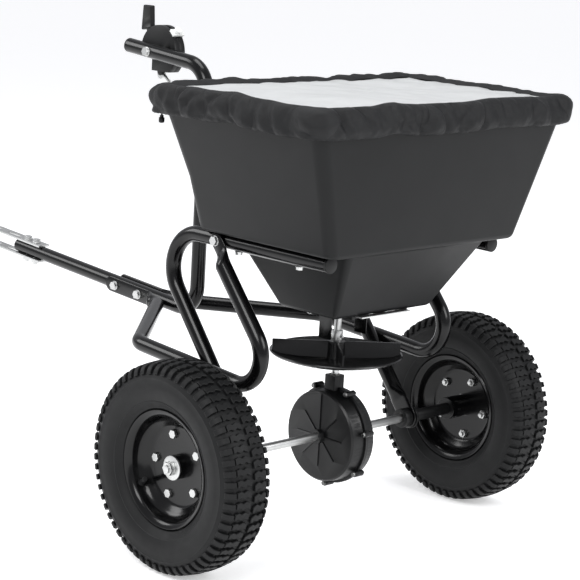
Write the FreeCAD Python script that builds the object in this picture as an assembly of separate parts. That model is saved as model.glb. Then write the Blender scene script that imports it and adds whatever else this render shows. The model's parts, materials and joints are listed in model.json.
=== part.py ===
"""Tow-behind garden spreader: a hopper on a bent-tube frame, a ground-driven impeller and two wheels.

Millimetres. +X points to the hitch, +Y to the left wheel, +Z up. While building, X = 0 is the axle and
Z = 0 is the ground; when the pieces are written they move along X so that X = 0 is the middle of the length.
"""
import FreeCAD, Part
import math
import os

V = FreeCAD.Vector

# ---- driving dimensions -------------------------------------------------------------------------
tyre_r = 165.0            # 13 inch tyre
tyre_half = 45.0
track_half = 330.0        # wheel centre from the middle plane
axle_r = 7.0
tube_r = 12.7             # one inch steel tube everywhere
tube_wall = 1.6
bend_r = 50.0             # centre-line radius of the common bends
hoop_r = 60.0
frame_rise = 4.0          # degrees: the low frame and tongue climb towards the hitch
frame_z = 277.0           # height of the low frame over the axle
tube_gap = 0.6            # between a frame tube and the hoop beside it
rail_y = 186.0            # rails under the hopper
corner_x = 246.0          # front corners of the low frame
joint_x = 80.0            # where frame tube and hoop are bolted
leg_angle = 51.1          # slope of the hoop legs, degrees
diag_angle = 49.4         # slope of the frame tubes' diagonals, degrees
rail_end_x = -151.0
tongue_rear = 395.0
tongue_front = 858.0
post_x = 342.0
arm_rise = 5.0            # slope of the control arm, degrees
pivot_x = 488.0           # flow lever pivot
pivot_z = 742.5
arm_front = 548.0
hopper_wall = 4.0
ledge_z = 502.8
rim_z = 719.6
floor_z = 386.0
ledge_box = (-181.2, 116.0, 212.4)    # rear x, front x, half width
rim_box = (-210.6, 143.0, 286.7)
funnel_top = (-166.0, 96.0, 160.0)
funnel_low = (-97.0, 26.0, 110.0)
impeller_r = 109.0
impeller_z = 290.0        # underside of the dish at its middle
gear_face = 28.0          # gearbox outer face from the middle plane
gear_r = 75.0
shaft_r = 6.0
lever_swing = 60.0
lever_arm = 36.0
# ---- clearances ---------------------------------------------------------------------------------
run_fit = 0.05            # radial, shaft in bush
gap = 0.3                 # faces that pass or nearly touch
hole_gap = 0.2            # radial, bolt in hole
bolt_r = 4.0              # M8 frame bolts
past_nut = 10.0           # bolt end past the far face: nut height and two turns of thread
screw_r = 3.0             # M6
sheet_t = 2.5             # folded steel
# ---- worked-out sizes ---------------------------------------------------------------------------
axle_z = tyre_r
frame_y = rail_y + 2 * tube_r + tube_gap
rise = math.radians(frame_rise)
rail_z = ledge_z - tube_r - 0.1
diag = math.radians(diag_angle)
leg = math.radians(leg_angle)
paddle_half = 17.0
paddle_t = 6.0
lever_y = -24.2           # plane of the flow lever, beside the arm
rod_y = lever_y - 5.3
rod_r = 3.0
tab_x = 62.0              # where the flow rod hooks the gate
tab_z = floor_z + 6.0
half_swing = math.radians(lever_swing / 2.0)
rod_offset = lever_arm * (1.0 + math.cos(half_swing)) / 2.0
rod_angle = (math.atan2(pivot_z - tab_z, pivot_x - tab_x)
             - math.asin(rod_offset / math.hypot(pivot_z - tab_z, pivot_x - tab_x)))
rod_stroke = 2.0 * lever_arm * math.sin(half_swing)
gate_stroke = rod_stroke * math.cos(rod_angle)
hub_in = 45.0
hub_out = 13.0
hub_r = 19.0


# ---- helpers ------------------------------------------------------------------------------------
def cyl(base, axis, radius, length):
    return Part.makeCylinder(radius, length, V(*base), V(*axis))


def box(x0, x1, y0, y1, z0, z1):
    return Part.makeBox(x1 - x0, y1 - y0, z1 - z0, V(x0, y0, z0))


def fuse(shapes):
    if len(shapes) == 1:
        return shapes[0]
    return shapes[0].multiFuse(shapes[1:]).removeSplitter()


def mirror(shape):
    return shape.mirror(V(0, 0, 0), V(0, 1, 0))


def hexagon(base, axis, across, height):
    """Hexagonal prism for bolt heads and nuts."""
    corner = across / math.sqrt(3.0)
    pts = [V(corner * math.cos(math.radians(a)), corner * math.sin(math.radians(a)), 0)
           for a in range(0, 361, 60)]
    prism = Part.Face(Part.makePolygon(pts)).extrude(V(0, 0, height))
    prism.Placement = FreeCAD.Placement(V(*base), FreeCAD.Rotation(V(0, 0, 1), V(*axis)))
    return prism


def bolt(head, axis, radius, length, head_h=5.0, washer=1.2):
    """Bolt whose head sits on the point given, with its washer under it; axis runs along the shank."""
    a = V(*axis)
    h = V(*head)
    shank = Part.makeCylinder(radius, length, h, a)
    ring = Part.makeCylinder(radius * 2.1, washer, h - a * washer, a)
    top = hexagon(tuple(h - a * (washer + head_h)), axis, radius * 3.3, head_h)
    return fuse([shank, ring, top])


def nut(face, axis, radius, height=6.5):
    """Nut standing on the point given, growing along the axis, bored for its bolt."""
    body = hexagon(face, axis, radius * 3.3, height)
    return body.cut(cyl(face, axis, radius, height))


def bent_rod(points, bends, radius):
    """Round bar along straight runs joined by tangent arcs."""
    pts = [V(*p) for p in points]
    pieces = []
    start = pts[0]
    for i in range(1, len(pts) - 1):
        d_in = (pts[i] - pts[i - 1]).normalize()
        d_out = (pts[i + 1] - pts[i]).normalize()
        turn = d_in.getAngle(d_out)
        back = bends[i - 1] * math.tan(turn / 2.0)
        arc_start = pts[i] - d_in * back
        axis = d_in.cross(d_out).normalize()
        centre = arc_start + axis.cross(d_in) * bends[i - 1]
        pieces.append(Part.makeCylinder(radius, (arc_start - start).Length, start, d_in))
        disc = Part.Face(Part.Wire(Part.makeCircle(radius, arc_start, d_in)))
        pieces.append(disc.revolve(centre, axis, math.degrees(turn)))
        start = pts[i] + d_out * back
    d_end = (pts[-1] - pts[-2]).normalize()
    pieces.append(Part.makeCylinder(radius, (pts[-1] - start).Length, start, d_end))
    return fuse(pieces)


def bent_tube(points, bends, radius=tube_r, wall=tube_wall):
    return bent_rod(points, bends, radius).cut(bent_rod(points, bends, radius - wall))


def super_section(centre, across, thin, half_w, half_t, power):
    """Closed smooth section between a circle (power 2) and a flat with round edges."""
    pts = []
    for i in range(32):
        a = 2.0 * math.pi * i / 32
        c = math.cos(a)
        s = math.sin(a)
        u = half_w * math.copysign(abs(c) ** (2.0 / power), c)
        w = half_t * math.copysign(abs(s) ** (2.0 / power), s)
        pts.append(centre + across * u + thin * w)
    curve = Part.BSplineCurve()
    curve.interpolate(pts, PeriodicFlag=True)
    return Part.Wire(curve.toShape())


def flat_end(end, direction, thin, shift, flat_len, squeeze=30.0, half=paddle_half):
    """Pressed-flat end of a tube: a transition from round to flat and a plate with a round end.

    end is where the round tube stops; shift moves the flat sideways along thin.
    """
    e = V(*end)
    d = V(*direction).normalize()
    t = V(*thin).normalize()
    across = d.cross(t)
    shrink = 0.05
    parts = []
    for k, f in enumerate((0.0, 0.34, 0.68, 1.0)):
        ease = f * f * (3 - 2 * f)
        half_w = (tube_r - shrink) * (1 - ease) + half * ease
        half_t = (tube_r - shrink) * (1 - ease) + paddle_t / 2.0 * ease
        centre = e + d * (f * (squeeze + 3.0) - 3.0) + t * (shift * ease)
        parts.append(super_section(centre, across, t, half_w, half_t, 2.0 + 1.6 * ease))
    neck = Part.makeLoft(parts, True)
    c0 = e + d * (squeeze - 4.0) + t * shift
    c1 = e + d * (squeeze + flat_len) + t * shift
    thick = t * (paddle_t / 2.0 - shrink)
    w = across * (half - 1.0)
    face = Part.Face(Part.makePolygon([c0 - w - thick, c0 + w - thick, c1 + w - thick, c1 - w - thick,
                                       c0 - w - thick]))
    plate = face.extrude(thick * 2)
    tip = Part.makeCylinder(half - 1.0, paddle_t - 2 * shrink, c1 - thick, t)
    return fuse([neck, plate, tip])


def on_rise(x, y=0.0, up=0.0):
    """Point of the rising frame plane: x along it, y across, up away from it."""
    return (x * math.cos(rise) - up * math.sin(rise), y, frame_z + x * math.sin(rise) + up * math.cos(rise))


rise_dir = (math.cos(rise), 0.0, math.sin(rise))
rise_up = (-math.sin(rise), 0.0, math.cos(rise))


def lift(shape):
    """Turn a shape drawn on a level frame onto the rising frame."""
    s = shape.copy()
    s.rotate(V(0, 0, 0), V(0, 1, 0), -frame_rise)
    s.translate(V(0, 0, frame_z))
    return s


def round_rect(rear, front, half, z, radius):
    """Rounded rectangle wire, always starting on the same side."""
    r = radius
    k = r * (1 - math.sqrt(0.5))
    line = Part.makeLine

    def arc(a, m, b):
        return Part.Arc(V(*a), V(*m), V(*b)).toShape()
    edges = [line(V(rear + r, -half, z), V(front - r, -half, z)),
             arc((front - r, -half, z), (front - k, -half + k, z), (front, -half + r, z)),
             line(V(front, -half + r, z), V(front, half - r, z)),
             arc((front, half - r, z), (front - k, half - k, z), (front - r, half, z)),
             line(V(front - r, half, z), V(rear + r, half, z)),
             arc((rear + r, half, z), (rear + k, half - k, z), (rear, half - r, z)),
             line(V(rear, half - r, z), V(rear, -half + r, z)),
             arc((rear, -half + r, z), (rear + k, -half + k, z), (rear + r, -half, z))]
    return Part.Wire(edges)


def prism(outline, z0, z1, radius, grow=0.0):
    rear, front, half = outline
    wire = round_rect(rear - grow, front + grow, half + grow, z0, radius + grow)
    return Part.Face(wire).extrude(V(0, 0, z1 - z0))


def strip(points, thick):
    """Closed outline of a bent sheet of even thickness whose one side follows the points (u, r)."""
    other = []
    for i, (u, r) in enumerate(points):
        a = points[max(i - 1, 0)]
        b = points[min(i + 1, len(points) - 1)]
        n = math.hypot(b[0] - a[0], b[1] - a[1])
        other.append((u - (b[1] - a[1]) / n * thick, r + (b[0] - a[0]) / n * thick))
    return list(points) + other[::-1]


def spin_y(outline, y0, z0, side=1.0):
    """Turn an outline of (distance along the axle, radius) into a ring about the axle."""
    pts = [V(0, y0 + side * u, z0 + r) for u, r in outline]
    pts.append(pts[0])
    ring = Part.Face(Part.makePolygon(pts)).revolve(V(0, 0, z0), V(0, 1, 0), 360)
    return solid(ring)


def spin_z(outline):
    """Turn an outline of (radius, height) into a ring about the impeller shaft."""
    pts = [V(r, 0, z) for r, z in outline]
    pts.append(pts[0])
    return solid(Part.Face(Part.makePolygon(pts)).revolve(V(0, 0, 0), V(0, 0, 1), 360))


def solid(shape):
    s = shape if shape.ShapeType == "Solid" else shape.Solids[0]
    if s.Volume < 0:
        s.reverse()
    return s


# ---- frame --------------------------------------------------------------------------------------
tongue_bolt_x = (480.0, 545.0)
hitch_bolt_x = (806.0, 832.0)
flat_start = 455.0        # where the flattened front ends of the frame tubes begin
side_y = tube_r + paddle_t / 2.0 + 0.1
strap_front = 945.0
strap_rear = 782.0
strap_half = 12.5
strap_t = 4.0
hitch_pin_x = 925.0
hitch_pin_r = 6.5
hitch_slot = (860.0, 890.0, 4.5)   # rear x, front x, half width


def tongue_tube():
    tube = cyl((tongue_rear, 0, 0), (1, 0, 0), tube_r, tongue_front - tongue_rear)
    tube = tube.cut(cyl((tongue_rear, 0, 0), (1, 0, 0), tube_r - tube_wall, tongue_front - tongue_rear))
    holes = [cyl((x, -20, 0), (0, 1, 0), bolt_r + hole_gap, 40) for x in tongue_bolt_x]
    holes += [cyl((x, 0, -20), (0, 0, 1), bolt_r + hole_gap, 40) for x in hitch_bolt_x]
    return lift(tube.cut(holes))


def hitch_strap(side):
    z0 = tube_r if side > 0 else -tube_r - strap_t
    body = box(strap_rear, strap_front - strap_half, -strap_half, strap_half, z0, z0 + strap_t)
    body = fuse([body, cyl((strap_front - strap_half, 0, z0), (0, 0, 1), strap_half, strap_t)])
    holes = [cyl((x, 0, z0 - 1), (0, 0, 1), bolt_r + hole_gap, strap_t + 2) for x in hitch_bolt_x]
    x0, x1, half = hitch_slot
    slot = [box(x0, x1, -half, half, z0 - 1, z0 + strap_t + 1)]
    slot += [cyl((x, 0, z0 - 1), (0, 0, 1), half, strap_t + 2) for x in (x0, x1)]
    pin = [cyl((hitch_pin_x, 0, z0 - 1), (0, 0, 1), hitch_pin_r, strap_t + 2)]
    return lift(body.cut(holes + slot + pin))


def diag_foot():
    """Where the diagonal, drawn down from the hopper joint, meets the rising frame plane."""
    slope = math.tan(diag)
    x = (frame_z - rail_z + slope * joint_x) / (slope - math.tan(rise))
    return (x, frame_y, frame_z + x * math.tan(rise))


def up_slope(angle):
    """Unit vector forward and up at an angle over the ground."""
    return V(math.cos(angle), 0, math.sin(angle))


def frame_tube():
    """Left frame tube: flat on the tongue, out to the side, back, and up to the hoop."""
    straight = 430.0
    side = 2 * tube_r + 0.6
    start = on_rise(straight, side)
    bend_a = on_rise(418.0, side)
    corner = on_rise(corner_x, frame_y)
    foot = diag_foot()
    up = up_slope(diag)
    top = V(joint_x, frame_y, rail_z) - up * 46.0
    path = [start, bend_a, corner, foot, tuple(top)]
    tube = bent_tube(path, [24.0, 34.0, bend_r])
    front = flat_end(start, rise_dir, (0, -1, 0), side - side_y, 104.0, squeeze=flat_start - straight,
                     half=15.0)
    shift = frame_y - (rail_y + tube_r + 0.2 + paddle_t / 2.0)
    back = flat_end(tuple(top), tuple(up), (0, -1, 0), shift, 16.0, half=13.5)
    whole = fuse([tube, front, back])
    holes = [cyl(on_rise(x, 0), (0, 1, 0), bolt_r + hole_gap, 60) for x in tongue_bolt_x]
    holes.append(cyl((joint_x, 150, rail_z), (0, 1, 0), bolt_r + hole_gap, 80))
    return whole.cut(holes)


def hoop_tube():
    """Left hoop: pressed flat round the axle bush, up, round the front and back under the hopper."""
    d = up_slope(leg)
    start = V(0, rail_y, axle_z) + d * 62.0
    corner_run = (rail_z - axle_z) / d.z
    corner = V(0, rail_y, axle_z) + d * corner_run
    path = [tuple(start), tuple(corner), (rail_end_x, rail_y, rail_z)]
    tube = bent_tube(path, [hoop_r])
    foot = flat_end(tuple(start), tuple(d * -1), (0, 1, 0), 0.0, 32.0, half=20.0)
    whole = fuse([tube, foot])
    holes = [cyl((0, rail_y - 20, axle_z), (0, 1, 0), bush_r + hole_gap, 40),
             cyl((joint_x, 150, rail_z), (0, 1, 0), bolt_r + hole_gap, 80)]
    holes += [cyl((x, rail_y, rail_z - 20), (0, 0, 1), screw_r + hole_gap, 40) for x in hopper_screw_x]
    return whole.cut(holes)


bush_r = 13.0
hopper_screw_x = (45.0, -90.0)


def frame_bolts():
    """All M8 frame bolts: tongue, hitch and the two hoop joints."""
    out = []
    y_face = side_y + paddle_t / 2.0
    for x in tongue_bolt_x:
        out.append(bolt(on_rise(x, y_face), (0, -1, 0), bolt_r, 2 * y_face + past_nut))
    for x in hitch_bolt_x:
        out.append(bolt(on_rise(x, 0, tube_r + strap_t), tuple(-c for c in rise_up), bolt_r,
                        2 * (tube_r + strap_t) + past_nut))
    y_out = rail_y + tube_r + 0.2 + paddle_t
    for s in (1, -1):
        out.append(bolt((joint_x, s * y_out, rail_z), (0, -s, 0), bolt_r, 2 * tube_r + paddle_t + past_nut))
    return out


def frame_nuts():
    out = []
    y_face = side_y + paddle_t / 2.0
    for x in tongue_bolt_x:
        out.append(nut(on_rise(x, -y_face), (0, -1, 0), bolt_r))
    for x in hitch_bolt_x:
        out.append(nut(on_rise(x, 0, -tube_r - strap_t), tuple(-c for c in rise_up), bolt_r))
    for s in (1, -1):
        out.append(nut((joint_x, s * (rail_y - tube_r), rail_z), (0, -s, 0), bolt_r))
    return out


def end_caps():
    """Plastic plugs in the rear ends of the rails and the front end of the control arm."""
    out = []
    plug_r = tube_r - tube_wall
    for s in (1, -1):
        out.append(fuse([cyl((rail_end_x, s * rail_y, rail_z), (1, 0, 0), plug_r, 14),
                         cyl((rail_end_x - 5, s * rail_y, rail_z), (1, 0, 0), tube_r, 5)]))
    end = V(*arm_point(arm_front))
    d = V(*arm_dir)
    out.append(fuse([Part.makeCylinder(plug_r, 14, end - d * 14, d), Part.makeCylinder(tube_r, 3, end, d)]))
    return out


# ---- control post, box and lever ----------------------------------------------------------------
arm = math.radians(arm_rise)
arm_dir = (math.cos(arm), 0.0, math.sin(arm))
box_r = 46.0
box_wall = 2.5
box_inner = -tube_r - 0.2
box_outer = -35.6
box_open_z = pivot_z - 34.5
stop_angle = -44.0
rest_angle = 46.0         # flow lever at rest, degrees ahead of upright
box_screw_x = 457.0


def arm_point(x):
    return (x, 0.0, pivot_z + (x - pivot_x) * math.tan(arm))


def control_post():
    """Upright post: spigot in the tongue, bend up, bend forward into the arm."""
    spigot_r = tube_r - tube_wall - 0.1
    low = on_rise(post_x / math.cos(rise))
    path = [on_rise(tongue_rear - 0.2), low, arm_point(post_x), arm_point(arm_front)]
    outer = bent_rod(path, [45.0, bend_r], tube_r)
    inner = bent_rod(path, [45.0, bend_r], tube_r - 2 * tube_wall)
    plug = Part.makeCylinder(spigot_r, 122.0, V(*on_rise(tongue_rear - 20)), V(*rise_dir))
    body = fuse([outer, plug]).cut(inner)
    start = V(*on_rise(tongue_rear - 20))
    body = body.cut(Part.makeCylinder(tube_r - 2 * tube_wall, 130.0, start, V(*rise_dir)))
    open_arm = V(*arm_point(arm_front - 16))
    holes = [cyl(on_rise(tongue_bolt_x[0], -30), (0, 1, 0), bolt_r + hole_gap, 60),
             cyl((pivot_x, -30, pivot_z), (0, 1, 0), bolt_r + hole_gap, 60),
             cyl((box_screw_x, -30, arm_point(box_screw_x)[2]), (0, 1, 0), screw_r, 30),
             Part.makeCylinder(tube_r - tube_wall, 20.0, open_arm, V(*arm_dir))]
    return body.cut(holes)


def sector(r_in, r_out, a0, a1, y0, y1):
    """Ring sector about the lever pivot between two angles measured forward from upright."""
    pts = []
    for a in (a0, a1):
        for r in (r_in, r_out):
            t = math.radians(a)
            pts.append(V(pivot_x + r * math.sin(t), y0, pivot_z + r * math.cos(t)))
    mid = math.radians((a0 + a1) / 2.0)
    m_in = V(pivot_x + r_in * math.sin(mid), y0, pivot_z + r_in * math.cos(mid))
    m_out = V(pivot_x + r_out * math.sin(mid), y0, pivot_z + r_out * math.cos(mid))
    wire = Part.Wire([Part.makeLine(pts[0], pts[1]), Part.Arc(pts[1], m_out, pts[3]).toShape(),
                      Part.makeLine(pts[3], pts[2]), Part.Arc(pts[2], m_in, pts[0]).toShape()])
    return solid(Part.Face(wire).extrude(V(0, y1 - y0, 0)))


def control_box(inner_half):
    """One half of the round lever box on the right-hand side of the arm, open at the bottom."""
    y0, y1 = (lever_y, box_inner) if inner_half else (box_outer, lever_y)
    body = cyl((pivot_x, y0, pivot_z), (0, 1, 0), box_r, y1 - y0)
    cave0 = y0 if inner_half else y0 + box_wall
    cave1 = y1 - box_wall if inner_half else y1
    cave = cyl((pivot_x, cave0, pivot_z), (0, 1, 0), box_r - box_wall, cave1 - cave0)
    low = box(pivot_x - 60, pivot_x + 60, box_outer - 1, box_inner + 1, box_open_z - 40, box_open_z)
    front = box(pivot_x + 15, pivot_x + 60, box_outer - 1, box_inner + 1, box_open_z - 1, pivot_z - 12)
    slot = sector(box_r - 6, box_r + 6, rest_angle - lever_swing - 11, rest_angle + 11,
                  lever_y - 2.6, lever_y + 2.6)
    cuts = [cave, low, front, slot]
    cuts.append(cyl((pivot_x, y0 - 1, pivot_z), (0, 1, 0), bolt_r + hole_gap, y1 - y0 + 2))
    cuts.append(cyl((box_screw_x, y0 - 1, arm_point(box_screw_x)[2]), (0, 1, 0), screw_r + hole_gap,
                    y1 - y0 + 2))
    return body.cut(cuts)


def rod_points():
    """Directions of the flow rod and the places of its two ends at rest."""
    d = V(math.cos(rod_angle), 0, math.sin(rod_angle))
    n = V(math.sin(rod_angle), 0, -math.cos(rod_angle))
    pivot = V(pivot_x, 0, pivot_z)
    eye = pivot + n * rod_offset - d * (rod_stroke / 2.0)
    pin = pivot + n * (lever_arm * math.cos(half_swing)) - d * (rod_stroke / 2.0)
    return d, n, eye, pin


def bar(a, b, half, y0, y1):
    """Flat bar with round ends between two points of the XZ plane."""
    d = V(b.x - a.x, 0, b.z - a.z)
    n = V(-d.z, 0, d.x).normalize() * half
    base = V(0, y0, 0)
    a0 = V(a.x, 0, a.z) + base
    b0 = V(b.x, 0, b.z) + base
    face = Part.Face(Part.makePolygon([a0 - n, b0 - n, b0 + n, a0 + n, a0 - n]))
    return fuse([face.extrude(V(0, y1 - y0, 0)), cyl(tuple(a0), (0, 1, 0), half, y1 - y0),
                 cyl(tuple(b0), (0, 1, 0), half, y1 - y0)])


def flow_lever():
    pin = rod_points()[3]
    pivot = V(pivot_x, 0, pivot_z)
    a = math.radians(rest_angle)
    knee = pivot + V(math.sin(a), 0, math.cos(a)) * 54.0
    y0, y1 = lever_y - 1.8, lever_y + 1.8
    hub = cyl((pivot_x, box_outer + box_wall + gap, pivot_z), (0, 1, 0), 11.0,
              box_inner - box_outer - 2 * box_wall - 2 * gap)
    upper = bar(pivot, knee, 6.5, y0, y1)
    lower = bar(pivot, pin, 7.0, y0, y1)
    grip = [V(knee.x - 11, lever_y - 5, knee.z + 1), V(knee.x + 17, lever_y - 5, knee.z - 5),
            V(knee.x + 14, lever_y - 5, knee.z + 40), V(knee.x - 8, lever_y - 5, knee.z + 40)]
    tab = Part.Face(Part.makePolygon(grip + [grip[0]])).extrude(V(0, 10, 0))
    tab = tab.makeFillet(2.5, tab.Edges)
    peg = cyl((pin.x, rod_y - 2.6, pin.z), (0, 1, 0), rod_r, lever_y - rod_y + 2.6)
    body = fuse([hub, upper, lower, tab, peg])
    return body.cut(cyl((pivot_x, -60, pivot_z), (0, 1, 0), bolt_r + run_fit, 60))


def lever_pivot():
    """Shoulder bolt through arm, box and lever."""
    return bolt((pivot_x, tube_r, pivot_z), (0, -1, 0), bolt_r, tube_r - box_outer + past_nut)


def pivot_nut():
    return nut((pivot_x, box_outer, pivot_z), (0, -1, 0), bolt_r)


def stop_slider():
    """Adjustable stop that straddles the rim of the box, with its clamp knob."""
    saddle = sector(box_r + gap, box_r + 5, stop_angle - 8, stop_angle + 8, box_outer - 3, box_inner - 1)
    cheek = sector(box_r - 8, box_r + 5, stop_angle - 8, stop_angle + 8, box_outer - 3, box_outer - gap)
    a = math.radians(stop_angle)
    top = (pivot_x + (box_r + 4.5) * math.sin(a), lever_y, pivot_z + (box_r + 4.5) * math.cos(a))
    knob = cyl(top, (math.sin(a), 0, math.cos(a)), 6.5, 7.0)
    return fuse([saddle, cheek, knob])


def flow_rod():
    """Rod from the lever to the gate: slotted eye above, hook below."""
    d, n, eye = rod_points()[:3]
    y0, y1 = rod_y - 2.0, rod_y + 2.0
    hook = V(tab_x, rod_y, tab_z)
    foot_len = (V(eye.x, rod_y, eye.z) - hook).Length
    shank = Part.makeCylinder(rod_r, foot_len - 6.0, hook, d)
    across = 4.5
    plate = bar(eye - n * across, eye + n * across, 8.0, y0, y1)
    slot = bar(eye - n * 3.0, eye + n * 3.0, rod_r + 0.5, y0 - 1, y1 + 1)
    peg = cyl((tab_x, rod_y - rod_r, tab_z), (0, 1, 0), rod_r, 13.0)
    return fuse([shank, plate, peg]).cut([slot])


# ---- hopper, gate and bracket -------------------------------------------------------------------
corner_r = 16.0
funnel_r = 14.0
rim_corner = corner_r + 6.0
outlet_x = (-62.0, -36.0)
outlet_y = (10.0, 44.0)
gate_half = 56.0
gate_top = floor_z - gap
gate_t = 2.0
knee_z = 590.0
knee_box = (-193.0, 116.0, 242.3)
bracket_x = (-25.0, 1.0)
bracket_screw_y = 77.0


def shell(outline_sections, radii):
    wires = [round_rect(o[0], o[1], o[2], z, r) for (o, z), r in zip(outline_sections, radii)]
    return Part.makeLoft(wires, True, True)


def inset(outline, by):
    return (outline[0] + by, outline[1] - by, outline[2] - by)


def hopper():
    """Blow-moulded hopper: a flared body on a ledge, a funnel below it, outlets in its floor."""
    w = hopper_wall
    body = shell([(ledge_box, ledge_z), (knee_box, knee_z)], (corner_r, corner_r))
    flare = shell([(knee_box, knee_z), (rim_box, rim_z)], (corner_r, rim_corner))
    funnel = shell([(funnel_low, floor_z), (funnel_top, ledge_z)], (funnel_r, funnel_r))
    outer = fuse([body, flare, funnel])
    r = corner_r - w
    in_low = shell([(inset(ledge_box, w), ledge_z + w), (inset(knee_box, w), knee_z)], (r, r))
    in_up = shell([(inset(knee_box, w), knee_z), (inset(rim_box, w), rim_z)], (r, rim_corner - w))
    in_fun = shell([(inset(funnel_low, w), floor_z + w), (inset(funnel_top, w), ledge_z + w)],
                   (funnel_r - w, funnel_r - w))
    cave = fuse([in_low, in_up, in_fun])
    body = outer.cut(cave)
    holes = [cyl((0, 0, floor_z - 1), (0, 0, 1), hopper_bush_r, w + 2)]
    for s in (1, -1):
        y0, y1 = sorted((s * outlet_y[0], s * outlet_y[1]))
        holes.append(box(outlet_x[0], outlet_x[1], y0, y1, floor_z - 1, floor_z + w + 1))
        for x in hopper_screw_x:
            holes.append(cyl((x, s * rail_y, ledge_z - 1), (0, 0, 1), screw_r + hole_gap, w + 2))
        holes.append(cyl((sum(bracket_x) / 2, s * bracket_screw_y, floor_z - 1), (0, 0, 1), screw_r, w + 2))
    return body.cut(holes)


hopper_bush_r = 12.0


def hopper_bush():
    body = fuse([cyl((0, 0, floor_z), (0, 0, 1), hopper_bush_r, hopper_wall),
                 cyl((0, 0, floor_z + hopper_wall), (0, 0, 1), hopper_bush_r + 4, 3)])
    return body.cut(cyl((0, 0, floor_z - 1), (0, 0, 1), shaft_r + run_fit, 20))


def gate_plate():
    """Sliding shut-off plate with two windows, a shaft slot and the tab that the rod pulls."""
    z0 = gate_top - gate_t
    plate = fuse([box(-104, 34, -gate_half, gate_half, z0, gate_top),
                  box(30, tab_x + 16, rod_y - 8, 12, z0, gate_top)])
    y0 = rod_y + rod_r + 0.5
    tab = box(tab_x - 12, tab_x + 12, y0, y0 + sheet_t, z0, tab_z + rod_stroke * math.sin(rod_angle) + 12)
    body = fuse([plate, tab])
    cuts = []
    shut = gate_stroke
    for s in (1, -1):
        a, b = sorted((s * outlet_y[0], s * outlet_y[1]))
        cuts.append(box(outlet_x[0] - shut, outlet_x[1] - shut, a, b, z0 - 1, gate_top + 1))
    cuts.append(box(-gate_stroke, 0, -shaft_r - 2, shaft_r + 2, z0 - 1, gate_top + 1))
    cuts += [cyl((x, 0, z0 - 1), (0, 0, 1), shaft_r + 2, gate_t + 2) for x in (-gate_stroke, 0)]
    top = V(tab_x, 0, tab_z + rod_stroke * math.sin(rod_angle) + 0.8)
    cuts.append(bar(V(tab_x, 0, tab_z - 0.8), top, rod_r + 0.4, y0 - 1, y0 + sheet_t + 1))
    return body.cut(cuts)


def gate_guides():
    out = []
    for s in (1, -1):
        a, b = sorted((s * (gate_half + 0.5), s * (gate_half + 8)))
        c, d = sorted((s * (gate_half - 6), s * (gate_half + 2)))
        z_lip = gate_top - gate_t - gap
        out.append(fuse([box(-90, 26, a, b, floor_z - 6, floor_z), box(-90, 26, c, d, z_lip - 2.4, z_lip)]))
    return out


def shaft_bracket():
    """Folded strap under the outlets that steadies the shaft, with two drop guides."""
    x0, x1 = bracket_x
    web_z = floor_z - 12.0
    parts = [box(x0, x1, -70.5, 70.5, web_z, web_z + sheet_t)]
    for s in (1, -1):
        for y in ((68.0, 88.0, floor_z - sheet_t, floor_z), (68.0, 70.5, web_z, floor_z),
                  (40.0, 42.5, 332.0, web_z + 1)):
            a, b = sorted((s * y[0], s * y[1]))
            parts.append(box(x0, x1, a, b, y[2], y[3]))
    holes = [cyl((0, 0, web_z - 1), (0, 0, 1), shaft_r + run_fit, 5)]
    holes.append(box(-0.01, x1 + 1, -5.0, 5.0, web_z - 1, web_z + sheet_t + 1))
    mid = sum(bracket_x) / 2.0
    for s in (1, -1):
        holes.append(cyl((mid, s * bracket_screw_y, floor_z - 4), (0, 0, 1), screw_r + hole_gap, 6))
    return fuse(parts).cut(holes)


def body_screws():
    """M6 screws: rails to hopper, bracket to hopper, lever box to arm."""
    out = []
    for s in (1, -1):
        for x in hopper_screw_x:
            head = (x, s * rail_y, rail_z - tube_r)
            out.append(bolt(head, (0, 0, 1), screw_r, 2 * tube_r + hopper_wall + 0.7, head_h=4.0))
        seat = (sum(bracket_x) / 2, s * bracket_screw_y, floor_z - sheet_t)
        out.append(bolt(seat, (0, 0, 1), screw_r, sheet_t + hopper_wall + 3.0, head_h=4.0))
    side = (box_screw_x, box_outer, arm_point(box_screw_x)[2])
    out.append(bolt(side, (0, 1, 0), screw_r, 32, head_h=4.0))
    return out


# ---- impeller drive -----------------------------------------------------------------------------
ring_teeth = 48
pinion_teeth = 12
pitch_r = 56.0
pinion_pitch = pitch_r * pinion_teeth / ring_teeth
cone_out = math.hypot(pitch_r, pinion_pitch)
cone_in = cone_out - 12.5
tooth_pitch = 2 * math.pi * pitch_r / ring_teeth
tooth_up = 2.0
tooth_down = 2.8
boss_half = 11.0
boss_top = 265.0
shaft_low = 206.0
shaft_top = 432.0
agitator_z = 414.0
ring_back = gear_face - 5.5    # back face of the ring gear, inside the gearbox wall
ring_pin_y = ring_back - 9.5
ring_pin_r = 2.0


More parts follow.
